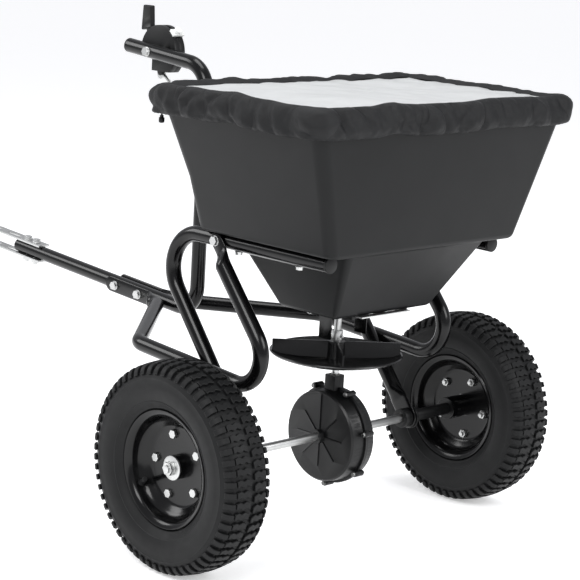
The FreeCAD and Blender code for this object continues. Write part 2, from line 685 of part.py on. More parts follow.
def gap_cutters(teeth, pitch_angle, axis, zero, first):
    """Wedges, all pointing at the common apex, that cut the gaps of a bevel gear."""
    apex = V(0, 0, axle_z)
    third = axis.cross(zero)
    flank = math.tan(math.radians(20.0))
    half_tooth = 0.21 * tooth_pitch
    levels = []
    for depth in (-tooth_down, tooth_up + 2.0):
        half_gap = tooth_pitch / 2.0 - (half_tooth - flank * depth)
        cone = pitch_angle + depth / cone_out
        levels.append((cone, half_gap / (cone_out * math.sin(cone))))
    out = []
    for k in range(teeth):
        mid = first + 2 * math.pi * k / teeth

        def ray(cone, az):
            flat = zero * math.cos(az) + third * math.sin(az)
            return axis * math.cos(cone) + flat * math.sin(cone)
        middle = ray(pitch_angle, mid)
        rays = [ray(levels[0][0], mid - levels[0][1]), ray(levels[1][0], mid - levels[1][1]),
                ray(levels[1][0], mid + levels[1][1]), ray(levels[0][0], mid + levels[0][1])]
        wires = []
        for reach in (cone_in - 8.0, cone_out + 8.0):
            pts = [apex + r * (reach / r.dot(middle)) for r in rays]
            wires.append(Part.makePolygon(pts + [pts[0]]))
        out.append(Part.makeLoft(wires, True, True))
    return out


def ring_gear():
    pitch_angle = math.atan2(pitch_r, pinion_pitch)
    tip = pitch_angle + tooth_up / cone_out
    back = ring_back
    outline = [(cone_out * math.cos(tip), cone_out * math.sin(tip)), (back, pitch_r), (back, 13.0),
               (back + 1.5, 13.0), (back + 1.5, axle_r), (9.0, axle_r), (9.0, 13.0), (back - 5.0, 13.0),
               (back - 5.0, 41.0), (cone_in * math.cos(tip), cone_in * math.sin(tip))]
    blank = spin_y(outline, 0.0, axle_z)
    gear = blank.cut(gap_cutters(ring_teeth, pitch_angle, V(0, 1, 0), V(0, 0, 1), 0.0))
    return gear.cut(cyl((0, ring_pin_y, axle_z - 20), (0, 0, 1), ring_pin_r, 40))


def ring_pin():
    return cyl((0, ring_pin_y, axle_z - 14), (0, 0, 1), ring_pin_r, 28)


def pinion_gear():
    pitch_angle = math.atan2(pinion_pitch, pitch_r)
    tip = pitch_angle + tooth_up / cone_out
    z_out = axle_z + cone_out * math.cos(tip)
    outline = [(shaft_r, axle_z + cone_in * math.cos(tip)),
               (cone_in * math.sin(tip), axle_z + cone_in * math.cos(tip)),
               (cone_out * math.sin(tip), z_out), (12.0, z_out + 3.0), (9.5, z_out + 3.0),
               (9.5, z_out + 11.0), (shaft_r, z_out + 11.0)]
    blank = spin_z(outline)
    gear = blank.cut(gap_cutters(pinion_teeth, pitch_angle, V(0, 0, 1), V(0, 1, 0), math.pi / pinion_teeth))
    return gear.cut(cyl((-20, 0, z_out + 7), (1, 0, 0), 1.5, 40))


def pinion_pin():
    z_out = axle_z + cone_out * math.cos(math.atan2(pinion_pitch, pitch_r) + tooth_up / cone_out)
    return cyl((-11, 0, z_out + 7), (1, 0, 0), 1.5, 22)


def gearbox_half(side):
    """Half of the round gearbox: dished wall, seam flange with screw ears, axle hub and shaft boss."""
    face = gear_face if side > 0 else gear_face - 4.0
    wall = 3.0
    bore = axle_r + run_fit
    outer = [(0.0, gear_r + 6), (3.0, gear_r + 6), (3.0, gear_r + 1.5), (face - 3, gear_r),
             (face, gear_r - 3), (face, 12.0), (face + 9.0, 12.0), (face + 9.0, bore), (face - wall, bore),
             (face - wall, gear_r - 6), (face - wall - 3, gear_r - wall), (0.0, gear_r - wall + 0.5)]
    body = spin_y(outer, 0.0, axle_z, side)
    a, b = sorted((0.0, side * boss_half))
    ears = []
    for k in range(7):
        ang = math.radians(360.0 / 7 * (k + 0.5))
        p = (ear_r * math.sin(ang), 0, axle_z + ear_r * math.cos(ang))
        ears.append(cyl(p, (0, side, 0), 5.0, ear_len))
    boss = box(-boss_half, boss_half, a, b, axle_z + gear_r - 6, boss_top)
    ribs = []
    for k in range(8):
        rib = box(-1.2, 1.2, 0, 2.0, 10.0, 50.0 if k else gear_r - 4)
        rib.translate(V(0, face - 0.4 if side > 0 else -face - 1.6, 0))
        rib.rotate(V(0, 0, 0), V(0, 1, 0), 45.0 * k)
        rib.translate(V(0, 0, axle_z))
        ribs.append(rib)
    whole = fuse([body, boss] + ears + ribs)
    cuts = [cyl((0, 0, axle_z + gear_r - 16), (0, 0, 1), gear_bush_r, 60)]
    for k in range(7):
        ang = math.radians(360.0 / 7 * (k + 0.5))
        cuts.append(cyl((ear_r * math.sin(ang), -20, axle_z + ear_r * math.cos(ang)), (0, 1, 0), 2.2, 40))
    inside = cyl((0, 0, axle_z), (0, side, 0), gear_r - wall - 3.2, face - wall)
    return whole.cut(cuts + [inside])


ear_r = gear_r + 8.0
ear_len = 9.0
gear_bush_r = 9.0


def gearbox_screws():
    out = []
    for k in range(7):
        ang = math.radians(360.0 / 7 * (k + 0.5))
        p = (ear_r * math.sin(ang), ear_len, axle_z + ear_r * math.cos(ang))
        out.append(bolt(p, (0, -1, 0), 2.0, 22, head_h=2.5))
    return out


def gearbox_bush():
    z0 = axle_z + gear_r - 3.0
    body = cyl((0, 0, z0), (0, 0, 1), gear_bush_r, boss_top - z0)
    return body.cut(cyl((0, 0, z0 - 1), (0, 0, 1), shaft_r + run_fit, 60))


def impeller_shaft():
    body = cyl((0, 0, shaft_low), (0, 0, 1), shaft_r, shaft_top - shaft_low)
    z_out = axle_z + cone_out * math.cos(math.atan2(pinion_pitch, pitch_r) + tooth_up / cone_out)
    return body.cut([cyl((-20, 0, z_out + 7), (1, 0, 0), 1.5, 40),
                     cyl((-20, 0, hub_pin_z), (1, 0, 0), 2.0, 40),
                     cyl((-20, 0, agitator_z), (1, 0, 0), 2.5, 40)])


hub_pin_z = impeller_z + 40.0
blade_turn = 50.0


def impeller():
    """Spinner: shallow dish, hub and four upright blades."""
    z = impeller_z
    under = [(shaft_r, z - 3), (16.0, z - 3), (18.0, z), (60.0, z + 1.0), (92.0, z + 4.0), (106.0, z + 9.0),
             (impeller_r, z + 12.0)]
    top = [(impeller_r - 1.5, z + 14.0), (104.0, z + 12.0), (91.0, z + 7.2), (60.0, z + 4.0),
           (15.0, z + 3.0), (14.0, z + 31.0), (shaft_r, z + 31.0)]
    dish = spin_z(under + top)
    blades = []
    for k in range(4):
        blade = box(10.0, impeller_r - 4.0, -1.4, 1.4, z + 2.0, z + 31.0)
        low = Part.makePolygon([V(10, -2, z), V(10, -2, z + 1.5), V(60, -2, z + 2.0), V(92, -2, z + 5.5),
                                V(110, -2, z + 13.0), V(112, -2, z), V(10, -2, z)])
        blade = blade.cut(Part.Face(low).extrude(V(0, 4, 0)))
        blade.rotate(V(0, 0, 0), V(0, 0, 1), blade_turn + 90.0 * k)
        blades.append(blade)
    body = fuse([dish] + blades)
    return body.cut(cyl((0, 0, z - 10), (0, 0, 1), shaft_r, 60))


def shaft_collar():
    """Steel collar on the shaft over the impeller hub."""
    body = cyl((0, 0, impeller_z + 31.0), (0, 0, 1), 9.0, 18.0).cut(
        cyl((0, 0, impeller_z), (0, 0, 1), shaft_r, 80))
    return body.cut(cyl((-20, 0, hub_pin_z), (1, 0, 0), 2.0, 40))


def collar_pin():
    return cyl((-13, 0, hub_pin_z), (1, 0, 0), 2.0, 26)


def agitator():
    """Stirring wire through the top of the shaft."""
    return cyl((-30, 0, agitator_z), (1, 0, 0), 2.5, 60)


# ---- axle and wheels ----------------------------------------------------------------------------
hub_outer = track_half + hub_out
washer_t = 3.0
drive_pin_y = track_half - 24.0
drive_pin_r = 3.0
bush_inner = 167.0
flat_out = rail_y + paddle_t / 2.0


def axle():
    body = cyl((0, -hub_outer - gap, axle_z), (0, 1, 0), axle_r, 2 * (hub_outer + gap))
    ends = cyl((0, -hub_outer - 15, axle_z), (0, 1, 0), axle_r - 1.0, 2 * (hub_outer + 15))
    body = fuse([body, ends])
    return body.cut([cyl((0, drive_pin_y, axle_z - 30), (0, 0, 1), drive_pin_r, 60),
                     cyl((0, ring_pin_y, axle_z - 20), (0, 0, 1), ring_pin_r, 40)])


def axle_washers():
    out = []
    for s in (1, -1):
        ring = cyl((0, s * (hub_outer + gap), axle_z), (0, s, 0), hub_r, washer_t)
        out.append(ring.cut(cyl((0, s * hub_outer, axle_z), (0, s, 0), axle_r - 1.0, 20)))
    return out


def axle_nuts():
    out = []
    for s in (1, -1):
        face = (0, s * (hub_outer + gap + washer_t), axle_z)
        out.append(hexagon(face, (0, s, 0), 19.0, 9.0).cut(cyl(face, (0, s, 0), axle_r - 1.0, 9.0)))
    return out


def axle_spacers():
    out = []
    y0 = flat_out + 5.0 + gap
    y1 = track_half - hub_in - gap
    for s in (1, -1):
        ring = cyl((0, s * y0, axle_z), (0, s, 0), 10.0, y1 - y0)
        out.append(ring.cut(cyl((0, s * y0, axle_z), (0, s, 0), axle_r, y1 - y0)))
    return out


def drive_pin():
    return cyl((0, drive_pin_y, axle_z - 24), (0, 0, 1), drive_pin_r, 48)


def axle_bush(side):
    """Plastic bearing in the flattened foot of a hoop."""
    y0 = bush_inner
    flat_in = rail_y - paddle_t / 2.0
    body = fuse([cyl((0, side * y0, axle_z), (0, side, 0), 16.0, flat_in - 0.1 - y0),
                 cyl((0, side * y0, axle_z), (0, side, 0), bush_r, flat_out + 5.0 - y0)])
    return body.cut(cyl((0, side * (y0 - 1), axle_z), (0, side, 0), axle_r + run_fit, 60))


def bush_rings():
    """Snap rings that keep the bushes in the feet."""
    out = []
    for s in (1, -1):
        ring = cyl((0, s * (flat_out + 0.1), axle_z), (0, s, 0), 20.0, 4.0)
        out.append(ring.cut(cyl((0, s * flat_out, axle_z), (0, s, 0), bush_r, 10)))
    return out


def tyre(side):
    """Hollow tyre carcass with a rounded tread band."""
    def arc(a, m, b):
        return Part.Arc(V(0, a[0], a[1]), V(0, m[0], m[1]), V(0, b[0], b[1])).toShape()

    def line(a, b):
        return Part.makeLine(V(0, a[0], a[1]), V(0, b[0], b[1]))
    w = tyre_half
    r = tyre_r
    out = [(27.0, 92.5), (w, 126.0), (w - 3.5, 149.0), (w - 9.0, 159.0), (w - 20.0, r - 2.0), (0.0, r)]
    inn = [(18.5, 92.5), (w - 8.0, 126.0), (w - 13.0, 147.0), (0.0, r - 10.0)]
    m = [(-a, b) for a, b in out]
    k = [(-a, b) for a, b in inn]
    bead = 85.2
    edges = [arc(out[0], out[1], out[2]), arc(out[2], out[3], out[4]), arc(out[4], out[5], m[4]),
             arc(m[4], m[3], m[2]), arc(m[2], m[1], m[0]), line(m[0], (-27.0, bead)),
             line((-27.0, bead), (-18.5, bead)), line((-18.5, bead), k[0]), arc(k[0], k[1], k[2]),
             arc(k[2], k[3], inn[2]), arc(inn[2], inn[1], inn[0]), line(inn[0], (18.5, bead)),
             line((18.5, bead), (27.0, bead)), line((27.0, bead), out[0])]
    ring = Part.Face(Part.Wire(edges)).revolve(V(0, 0, 0), V(0, 1, 0), 360)
    ring = solid(ring)
    ring.translate(V(0, side * track_half, axle_z))
    return ring


rim_t = 2.0
rim_bolt_pcd = 100.4
bolt_phase = {1: 14.8, -1: 47.4}


def rim_half(side, outboard):
    """Pressed half of a split rim: web, drop and bead lip."""
    s = side * outboard
    path = [(0.1, hub_r + 0.1), (0.1, 64.0), (4.0, 70.0), (12.0, 77.0), (20.0, 81.0), (27.6, 82.6),
            (30.6, 86.0), (31.4, 91.0)]
    ring = spin_y(strip(path, -rim_t), side * track_half, axle_z, s)
    holes = []
    for k in range(5):
        a = math.radians(bolt_phase[side] + 72.0 * k)
        holes.append(cyl((rim_bolt_pcd / 2 * math.sin(a), side * track_half - 20,
                          axle_z + rim_bolt_pcd / 2 * math.cos(a)), (0, 1, 0), bolt_r, 40))
    return ring.cut(holes)


def rim_bolts(side):
    out = []
    web = 0.1 + rim_t
    for k in range(5):
        a = math.radians(bolt_phase[side] + 72.0 * k)
        x = rim_bolt_pcd / 2 * math.sin(a)
        z = axle_z + rim_bolt_pcd / 2 * math.cos(a)
        face = side * (track_half + web)
        one = fuse([cyl((x, face, z), (0, -side, 0), bolt_r, 14.0),
                    hexagon((x, face, z), (0, side, 0), 12.5, 5.0),
                    hexagon((x, side * (track_half - web), z), (0, -side, 0), 12.5, 6.0)])
        out.append(one)
    return out


def hub(side):
    y0 = side * (track_half - hub_in)
    tube = cyl((0, y0, axle_z), (0, side, 0), hub_r, hub_in + hub_out)
    tube = tube.cut(cyl((0, y0, axle_z), (0, side, 0), hub_r - 2.5, hub_in + hub_out))
    if side > 0:
        tube = tube.cut(cyl((0, drive_pin_y, axle_z - 30), (0, 0, 1), drive_pin_r, 60))
    return tube


def hub_bushes(side):
    out = []
    for y in (track_half - hub_in, track_half + hub_out - 14.0):
        ring = cyl((0, side * y, axle_z), (0, side, 0), hub_r - 2.5, 14.0)
        out.append(ring.cut(cyl((0, side * y, axle_z), (0, side, 0), axle_r + run_fit, 14.0)))
    return out


# ---- rain cover ---------------------------------------------------------------------------------
skirt_out = 15.0
skirt_in = 24.0
skirt_low = 690.0
skirt_top = 735.0
window_corner = 8.0


def cover_skirt():
    """Elastic fabric band round the rim."""
    outer = prism(rim_box, skirt_low, skirt_top, rim_corner, skirt_out)
    over = prism(rim_box, skirt_low - 1, rim_z + 1.0, rim_corner, 1.5)
    hole = prism(rim_box, rim_z, skirt_top + 1, skirt_in + window_corner, -skirt_in)
    return outer.cut([over, hole])


def cover_sheet():
    """Clear vinyl sheet sewn into the band."""
    return prism(rim_box, skirt_top - 9.0, skirt_top - 6.0, skirt_in + window_corner, -skirt_in)


def cover_toggle():
    """Cord lock of the draw cord, hanging under the band at the front left corner."""
    x = rim_box[1] + skirt_out / 2.0
    y = rim_box[2] - rim_corner
    lock = cyl((x, y, skirt_low - 21.0), (0, 0, 1), 4.5, 12.0)
    cord = cyl((x, y, skirt_low - 10.0), (0, 0, 1), 1.5, 10.0)
    return fuse([lock, cord])


# ---- write --------------------------------------------------------------------------------------
def pieces():
    out = {"tongue_tube": tongue_tube()}
    out["hitch_strap_upper"] = hitch_strap(1)
    out["hitch_strap_lower"] = hitch_strap(-1)
    left = frame_tube()
    hoop = hoop_tube()
    out["frame_tube_left"] = left
    out["frame_tube_right"] = mirror(left)
    out["hoop_tube_left"] = hoop
    out["hoop_tube_right"] = mirror(hoop)
    out["frame_bolts"] = frame_bolts()
    out["frame_nuts"] = frame_nuts()
    out["tube_end_caps"] = end_caps()
    out["control_post"] = control_post()
    out["control_box_inner"] = control_box(True)
    out["control_box_outer"] = control_box(False)
    out["flow_lever"] = flow_lever()
    out["lever_pivot_bolt"] = lever_pivot()
    out["lever_pivot_nut"] = pivot_nut()
    out["flow_stop"] = stop_slider()
    out["flow_rod"] = flow_rod()
    out["hopper"] = hopper()
    out["hopper_bush"] = hopper_bush()
    out["gate_plate"] = gate_plate()
    out["gate_guides"] = gate_guides()
    out["shaft_bracket"] = shaft_bracket()
    out["body_screws"] = body_screws()
    out["impeller_shaft"] = impeller_shaft()
    out["impeller"] = impeller()
    out["shaft_collar"] = shaft_collar()
    out["collar_pin"] = collar_pin()
    out["agitator"] = agitator()
    out["pinion_gear"] = pinion_gear()
    out["pinion_pin"] = pinion_pin()
    out["ring_gear"] = ring_gear()
    out["ring_gear_pin"] = ring_pin()
    out["gearbox_half_left"] = gearbox_half(1)
    out["gearbox_half_right"] = gearbox_half(-1)
    out["gearbox_screws"] = gearbox_screws()
    out["gearbox_bush"] = gearbox_bush()
    out["axle"] = axle()
    out["axle_washers"] = axle_washers()
    out["axle_nuts"] = axle_nuts()
    out["axle_spacers"] = axle_spacers()
    out["drive_pin"] = drive_pin()
    out["bush_rings"] = bush_rings()
    for side, name in ((1, "left"), (-1, "right")):
        out["axle_bush_" + name] = axle_bush(side)
        out["tyre_" + name] = tyre(side)
        out["rim_outer_" + name] = rim_half(side, 1)
        out["rim_inner_" + name] = rim_half(side, -1)
        out["rim_bolts_" + name] = rim_bolts(side)
        out["wheel_hub_" + name] = hub(side)
        out["hub_bushes_" + name] = hub_bushes(side)
    out["cover_skirt"] = cover_skirt()
    out["cover_sheet"] = cover_sheet()
    out["cover_toggle"] = cover_toggle()
    return out


def main():
    os.makedirs("parts", exist_ok=True)
    front = strap_front * math.cos(rise) + (tube_r + strap_t) * math.sin(rise)
    rear = rim_box[0] - skirt_out
    shift = V(-(front + rear) / 2.0, 0, 0)
    for name, shape in pieces().items():
        group = shape if isinstance(shape, list) else [shape]
        solids = [s for item in group for s in item.Solids]
        whole = Part.makeCompound(solids) if len(solids) > 1 else solids[0].copy()
        whole.translate(shift)
        whole.exportStep("parts/" + name + ".step")
    print("axle at x =", round(shift.x, 3), "gate stroke", round(gate_stroke, 3))
    print("rod stroke", round(rod_stroke, 3), "rod angle", round(math.degrees(rod_angle), 3))


main()
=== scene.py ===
"""Looks of the tow-behind garden spreader: tyres, tubes, hopper, rain cover and fittings."""
import json
import math
import bpy
from bpy.props import FloatProperty, FloatVectorProperty, IntProperty
from mathutils import Matrix, Vector, noise

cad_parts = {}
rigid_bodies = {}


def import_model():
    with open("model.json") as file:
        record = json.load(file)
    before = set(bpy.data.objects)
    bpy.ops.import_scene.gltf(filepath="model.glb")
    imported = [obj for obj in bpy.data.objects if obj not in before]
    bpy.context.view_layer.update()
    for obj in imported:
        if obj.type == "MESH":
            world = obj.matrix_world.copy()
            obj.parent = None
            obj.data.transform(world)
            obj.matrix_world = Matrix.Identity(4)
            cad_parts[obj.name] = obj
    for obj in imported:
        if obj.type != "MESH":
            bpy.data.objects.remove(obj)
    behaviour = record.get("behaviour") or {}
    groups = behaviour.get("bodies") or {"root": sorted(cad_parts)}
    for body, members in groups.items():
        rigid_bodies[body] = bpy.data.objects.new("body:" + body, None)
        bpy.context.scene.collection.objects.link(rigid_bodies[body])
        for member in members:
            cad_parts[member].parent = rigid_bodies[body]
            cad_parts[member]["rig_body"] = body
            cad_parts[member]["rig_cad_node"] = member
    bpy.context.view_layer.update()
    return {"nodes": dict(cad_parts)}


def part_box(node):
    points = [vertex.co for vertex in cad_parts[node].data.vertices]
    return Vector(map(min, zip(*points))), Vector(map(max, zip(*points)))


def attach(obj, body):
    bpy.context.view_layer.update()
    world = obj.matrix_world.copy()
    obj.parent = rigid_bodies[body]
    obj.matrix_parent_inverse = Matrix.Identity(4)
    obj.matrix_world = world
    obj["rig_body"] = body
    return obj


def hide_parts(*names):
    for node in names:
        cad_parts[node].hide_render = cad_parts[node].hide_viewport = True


bl_info = {
    "name": "Garden Spreader",
    "version": (1, 0, 0),
    "blender": (4, 5, 0),
    "location": "3D View > Sidebar > Spreader",
    "description": "Models the tyres, tubes, hopper, cover and fittings of a tow-behind garden spreader",
    "category": "Object",
}

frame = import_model()
NODES = frame["nodes"]
AXLE = (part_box("axle")[0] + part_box("axle")[1]) / 2.0
X, Y, Z = Vector((1, 0, 0)), Vector((0, 1, 0)), Vector((0, 0, 1))


def at(x, y, z):
    """Point from millimetres ahead of the axle, left of the middle and above the ground."""
    return Vector((AXLE.x + x / 1000.0, y / 1000.0, z / 1000.0))


# ---- sizes and colours --------------------------------------------------------------------------
class SpreaderSizes(bpy.types.PropertyGroup):
    tyre_pitches: IntProperty(name="Tread pitches", description="Tread blocks round one tyre",
                              default=60, min=20)
    tread_depth: FloatProperty(name="Tread depth", description="Height of a tread block over the casing",
                               default=0.0033, unit="LENGTH")
    tube_radius: FloatProperty(name="Tube radius", description="Outside radius of the frame tubes",
                               default=0.0127, unit="LENGTH")
    bend_steps: IntProperty(name="Bend steps", description="Faces along one tube bend", default=14, min=4)
    ruffle: FloatProperty(name="Ruffle depth", description="How far the gathered band folds in and out",
                          default=0.0052, unit="LENGTH")
    ruffle_pitch: FloatProperty(name="Ruffle pitch", description="Usual distance between two folds",
                                default=0.021, unit="LENGTH")
    sheet_rise: FloatProperty(name="Sheet rise", description="How far the clear top bulges up",
                              default=0.010, unit="LENGTH")


class SpreaderColours(bpy.types.PropertyGroup):
    paint: FloatVectorProperty(name="Powder coat", description="Frame and rims", subtype="COLOR",
                               default=(0.0018, 0.0018, 0.002))
    hopper: FloatVectorProperty(name="Hopper plastic", description="Satin moulded plastic", subtype="COLOR",
                                default=(0.0062, 0.0065, 0.0068))
    plastic: FloatVectorProperty(name="Small plastic parts", description="Boxes, plugs and bushes",
                                 subtype="COLOR", default=(0.0030, 0.0031, 0.0033))
    rubber: FloatVectorProperty(name="Rubber", description="Tyres", subtype="COLOR",
                                default=(0.0042, 0.0044, 0.0047))
    zinc: FloatVectorProperty(name="Zinc", description="Bolts, axle and straps", subtype="COLOR",
                              default=(0.52, 0.525, 0.52))
    cloth: FloatVectorProperty(name="Band cloth", description="Gathered band of the cover", subtype="COLOR",
                               default=(0.0042, 0.0044, 0.005))
    vinyl: FloatVectorProperty(name="Clear top", description="Milky vinyl", subtype="COLOR",
                               default=(0.60, 0.61, 0.61))
    floor: FloatVectorProperty(name="Floor", description="Studio floor", subtype="COLOR",
                               default=(0.93, 0.93, 0.93))


# ---- finishes -----------------------------------------------------------------------------------
def node(tree, kind, **values):
    made = tree.nodes.new(kind)
    for key, value in values.items():
        if key in made.inputs:
            made.inputs[key].default_value = value
        else:
            setattr(made, key, value)
    return made


def finish(name, colour, rough, metallic=0.0, spread=0.25, patch=35.0, grain=900.0, bump=0.15, depth=0.0002,
           rough_spread=0.08, **sockets):
    """Surface with uneven colour and gloss and a fine grain, all patterned in the object's own space."""
    mat = bpy.data.materials.new(name)
    mat.use_nodes = True
    tree = mat.node_tree
    shader = tree.nodes["Principled BSDF"]
    shader.inputs["Metallic"].default_value = metallic
    for key, value in sockets.items():
        shader.inputs[key.replace("_", " ")].default_value = value
    place = node(tree, "ShaderNodeTexCoord")
    clouds = node(tree, "ShaderNodeTexNoise", Scale=patch, Detail=5.0, Roughness=0.6)
    tree.links.new(place.outputs["Object"], clouds.inputs["Vector"])
    mix = node(tree, "ShaderNodeMix", data_type="RGBA")
    mix.inputs[6].default_value = (*[c * (1 - spread) for c in colour], 1)
    mix.inputs[7].default_value = (*[min(1, c * (1 + spread)) for c in colour], 1)
    tree.links.new(clouds.outputs["Fac"], mix.inputs[0])
    tree.links.new(mix.outputs[2], shader.inputs["Base Color"])
    wear = node(tree, "ShaderNodeTexNoise", Scale=patch * 2.3, Detail=3.0)
    span = node(tree, "ShaderNodeMapRange")
    span.inputs[3].default_value = rough - rough_spread
    span.inputs[4].default_value = rough + rough_spread
    tree.links.new(place.outputs["Object"], wear.inputs["Vector"])
    tree.links.new(wear.outputs["Fac"], span.inputs[0])
    tree.links.new(span.outputs[0], shader.inputs["Roughness"])
    fine = node(tree, "ShaderNodeTexNoise", Scale=grain, Detail=4.0)
    lumps = node(tree, "ShaderNodeBump", Strength=bump, Distance=depth)
    tree.links.new(place.outputs["Object"], fine.inputs["Vector"])
    tree.links.new(fine.outputs["Fac"], lumps.inputs["Height"])
    tree.links.new(lumps.outputs["Normal"], shader.inputs["Normal"])
    return mat


def cloth_weave(mat, scale=520.0):
    """Adds a plain weave to a finish: two crossed waves under the grain."""
    tree = mat.node_tree
    place = next(n for n in tree.nodes if n.type == "TEX_COORD")
    lumps = next(n for n in tree.nodes if n.type == "BUMP")
    heights = []
    for way in ("X", "Z"):
        wave = node(tree, "ShaderNodeTexWave", Scale=scale, Distortion=1.5, bands_direction=way)
        tree.links.new(place.outputs["Object"], wave.inputs["Vector"])
        heights.append(wave)
    both = node(tree, "ShaderNodeMath", operation="MAXIMUM")
    tree.links.new(heights[0].outputs["Fac"], both.inputs[0])
    tree.links.new(heights[1].outputs["Fac"], both.inputs[1])
    weave = node(tree, "ShaderNodeBump", Strength=0.35, Distance=0.0003)
    tree.links.new(both.outputs[0], weave.inputs["Height"])
    tree.links.new(lumps.outputs["Normal"], weave.inputs["Normal"])
    tree.links.new(weave.outputs["Normal"], tree.nodes["Principled BSDF"].inputs["Normal"])
    return mat


MATS = {}


def make_finishes(c):
    MATS["paint"] = finish("black powder coat", c.paint, 0.2, patch=18, grain=420, bump=0.10, depth=0.0003,
                           rough_spread=0.05, Specular_IOR_Level=0.22, Coat_Weight=0.09, Coat_Roughness=0.1)
    MATS["hopper"] = finish("satin hopper plastic", c.hopper, 0.42, spread=0.10, patch=9, grain=1500,
                            bump=0.22, depth=0.00025, rough_spread=0.06, Specular_IOR_Level=0.15)
    MATS["plastic"] = finish("moulded black plastic", c.plastic, 0.4, patch=40, grain=1300, bump=0.25,
                             Specular_IOR_Level=0.25)
    MATS["gearbox"] = finish("gearbox plastic", [v * 1.2 for v in c.plastic], 0.36, patch=40, grain=1100,
                             bump=0.2, Specular_IOR_Level=0.3)
    MATS["spinner"] = finish("semi-gloss plastic", [v * 0.8 for v in c.plastic], 0.24, patch=25, grain=900,
                             bump=0.08, rough_spread=0.05, Specular_IOR_Level=0.35)
    MATS["rubber"] = finish("tyre rubber", c.rubber, 0.56, spread=0.3, patch=28, grain=650, bump=0.3,
                            rough_spread=0.1, Specular_IOR_Level=0.22)
    MATS["zinc"] = finish("bright zinc", c.zinc, 0.36, 1.0, spread=0.05, patch=45, grain=260, bump=0.004,
                          rough_spread=0.05)
    MATS["steel"] = finish("plain steel", [v * 0.3 for v in c.zinc], 0.4, 1.0, spread=0.1, patch=60,
                           grain=700, bump=0.05)
    MATS["nylon"] = finish("natural nylon", (0.6, 0.57, 0.5), 0.4, spread=0.06)
    MATS["stop"] = finish("pale plastic", (0.62, 0.63, 0.62), 0.32, spread=0.08, patch=60)
    MATS["cloth"] = cloth_weave(finish("band cloth", c.cloth, 0.6, spread=0.35, patch=30, grain=260,
                                       bump=0.35, depth=0.0006, Specular_IOR_Level=0.24))
    MATS["vinyl"] = finish("milky vinyl", c.vinyl, 0.34, spread=0.10, patch=11, grain=70, bump=0.35,
                           depth=0.0008, rough_spread=0.12, Transmission_Weight=0.35, IOR=1.45)
    MATS["floor"] = finish("studio floor", c.floor, 0.6, spread=0.01, patch=3, bump=0.02,
                           Emission_Strength=0.4, Emission_Color=(1, 1, 1, 1))


# ---- hand tools ---------------------------------------------------------------------------------
def calm():
    if bpy.context.object and bpy.context.object.mode != "OBJECT":
        bpy.ops.object.mode_set(mode="OBJECT")
    bpy.ops.object.select_all(action="DESELECT")


def only(obj):
    calm()
    obj.select_set(True)
    bpy.context.view_layer.objects.active = obj


def edit(obj, mode="VERT"):
    only(obj)
    bpy.ops.object.mode_set(mode="EDIT")
    bpy.ops.mesh.select_mode(type=mode)


def pick(obj, test):
    """Selects the vertices that pass the test and goes back to edit mode."""
    edit(obj)
    bpy.ops.mesh.select_all(action="DESELECT")
    bpy.ops.object.mode_set(mode="OBJECT")
    for v in obj.data.vertices:
        v.select = test(v.co)
    bpy.ops.object.mode_set(mode="EDIT")


def named(name):
    made = bpy.context.object
    made.name = name
    made.data.name = name
    bpy.ops.object.transform_apply(location=True, rotation=True, scale=True)
    return made


def push(by):
    bpy.ops.mesh.extrude_region_move(TRANSFORM_OT_translate={"value": tuple(by)})


def tidy(obj, smooth=35.0, normals=True):
    edit(obj)
    bpy.ops.mesh.select_all(action="SELECT")
    bpy.ops.mesh.remove_doubles(threshold=0.00001)
    if normals:
        bpy.ops.mesh.normals_make_consistent(inside=False)
    only(obj)
    bpy.ops.object.shade_smooth_by_angle(angle=math.radians(smooth))
    return obj


def modify(obj, kind, **values):
    only(obj)
    bpy.ops.object.modifier_add(type=kind)
    mod = obj.modifiers[-1]
    for key, value in values.items():
        setattr(mod, key, value)
    bpy.ops.object.modifier_apply(modifier=mod.name)
    return obj


def soften(obj, width, segments=2, angle=30.0):
    return modify(obj, "BEVEL", width=width, segments=segments, limit_method="ANGLE",
                  angle_limit=math.radians(angle), harden_normals=False)


def trace(name, points):
    """A line of edges: one vertex, extruded from point to point."""
    calm()
    bpy.ops.mesh.primitive_plane_add(size=0.001, location=points[0])
    made = named(name)
    edit(made)
    bpy.ops.mesh.select_all(action="SELECT")
    bpy.ops.mesh.merge(type="CENTER")
    for a, b in zip(points, points[1:]):
        push(b - a)
    return made


def turned(name, outline, centre, axis, across, steps=72):
    """Ring turned from an outline of (along the axis, radius) in millimetres."""
    points = [centre + axis * (u / 1000.0) + across * (r / 1000.0) for u, r in outline]
    made = trace(name, points)
    bpy.ops.mesh.select_all(action="SELECT")
    bpy.ops.mesh.spin(steps=steps, angle=math.tau, center=centre, axis=axis)
    return tidy(made)


def slab(name, points, by):
    """Flat outline filled and extruded along a direction."""
    made = trace(name, points)
    bpy.ops.mesh.select_all(action="SELECT")
    bpy.ops.mesh.edge_face_add()
    push(by)
    return tidy(made)


def copied(obj, name, matrix=None):
    only(obj)
    bpy.ops.object.duplicate()
    twin = bpy.context.object
    twin.name = name
    twin.data.name = name
    if matrix is not None:
        twin.data.transform(matrix)
        if matrix.determinant() < 0:
            edit(twin)
            bpy.ops.mesh.select_all(action="SELECT")
            bpy.ops.mesh.flip_normals()
    calm()
    return twin


def joined(name, objs):
    calm()
    for o in objs:
        o.select_set(True)
    bpy.context.view_layer.objects.active = objs[0]
    bpy.ops.object.join()
    objs[0].name = name
    objs[0].data.name = name
    return objs[0]


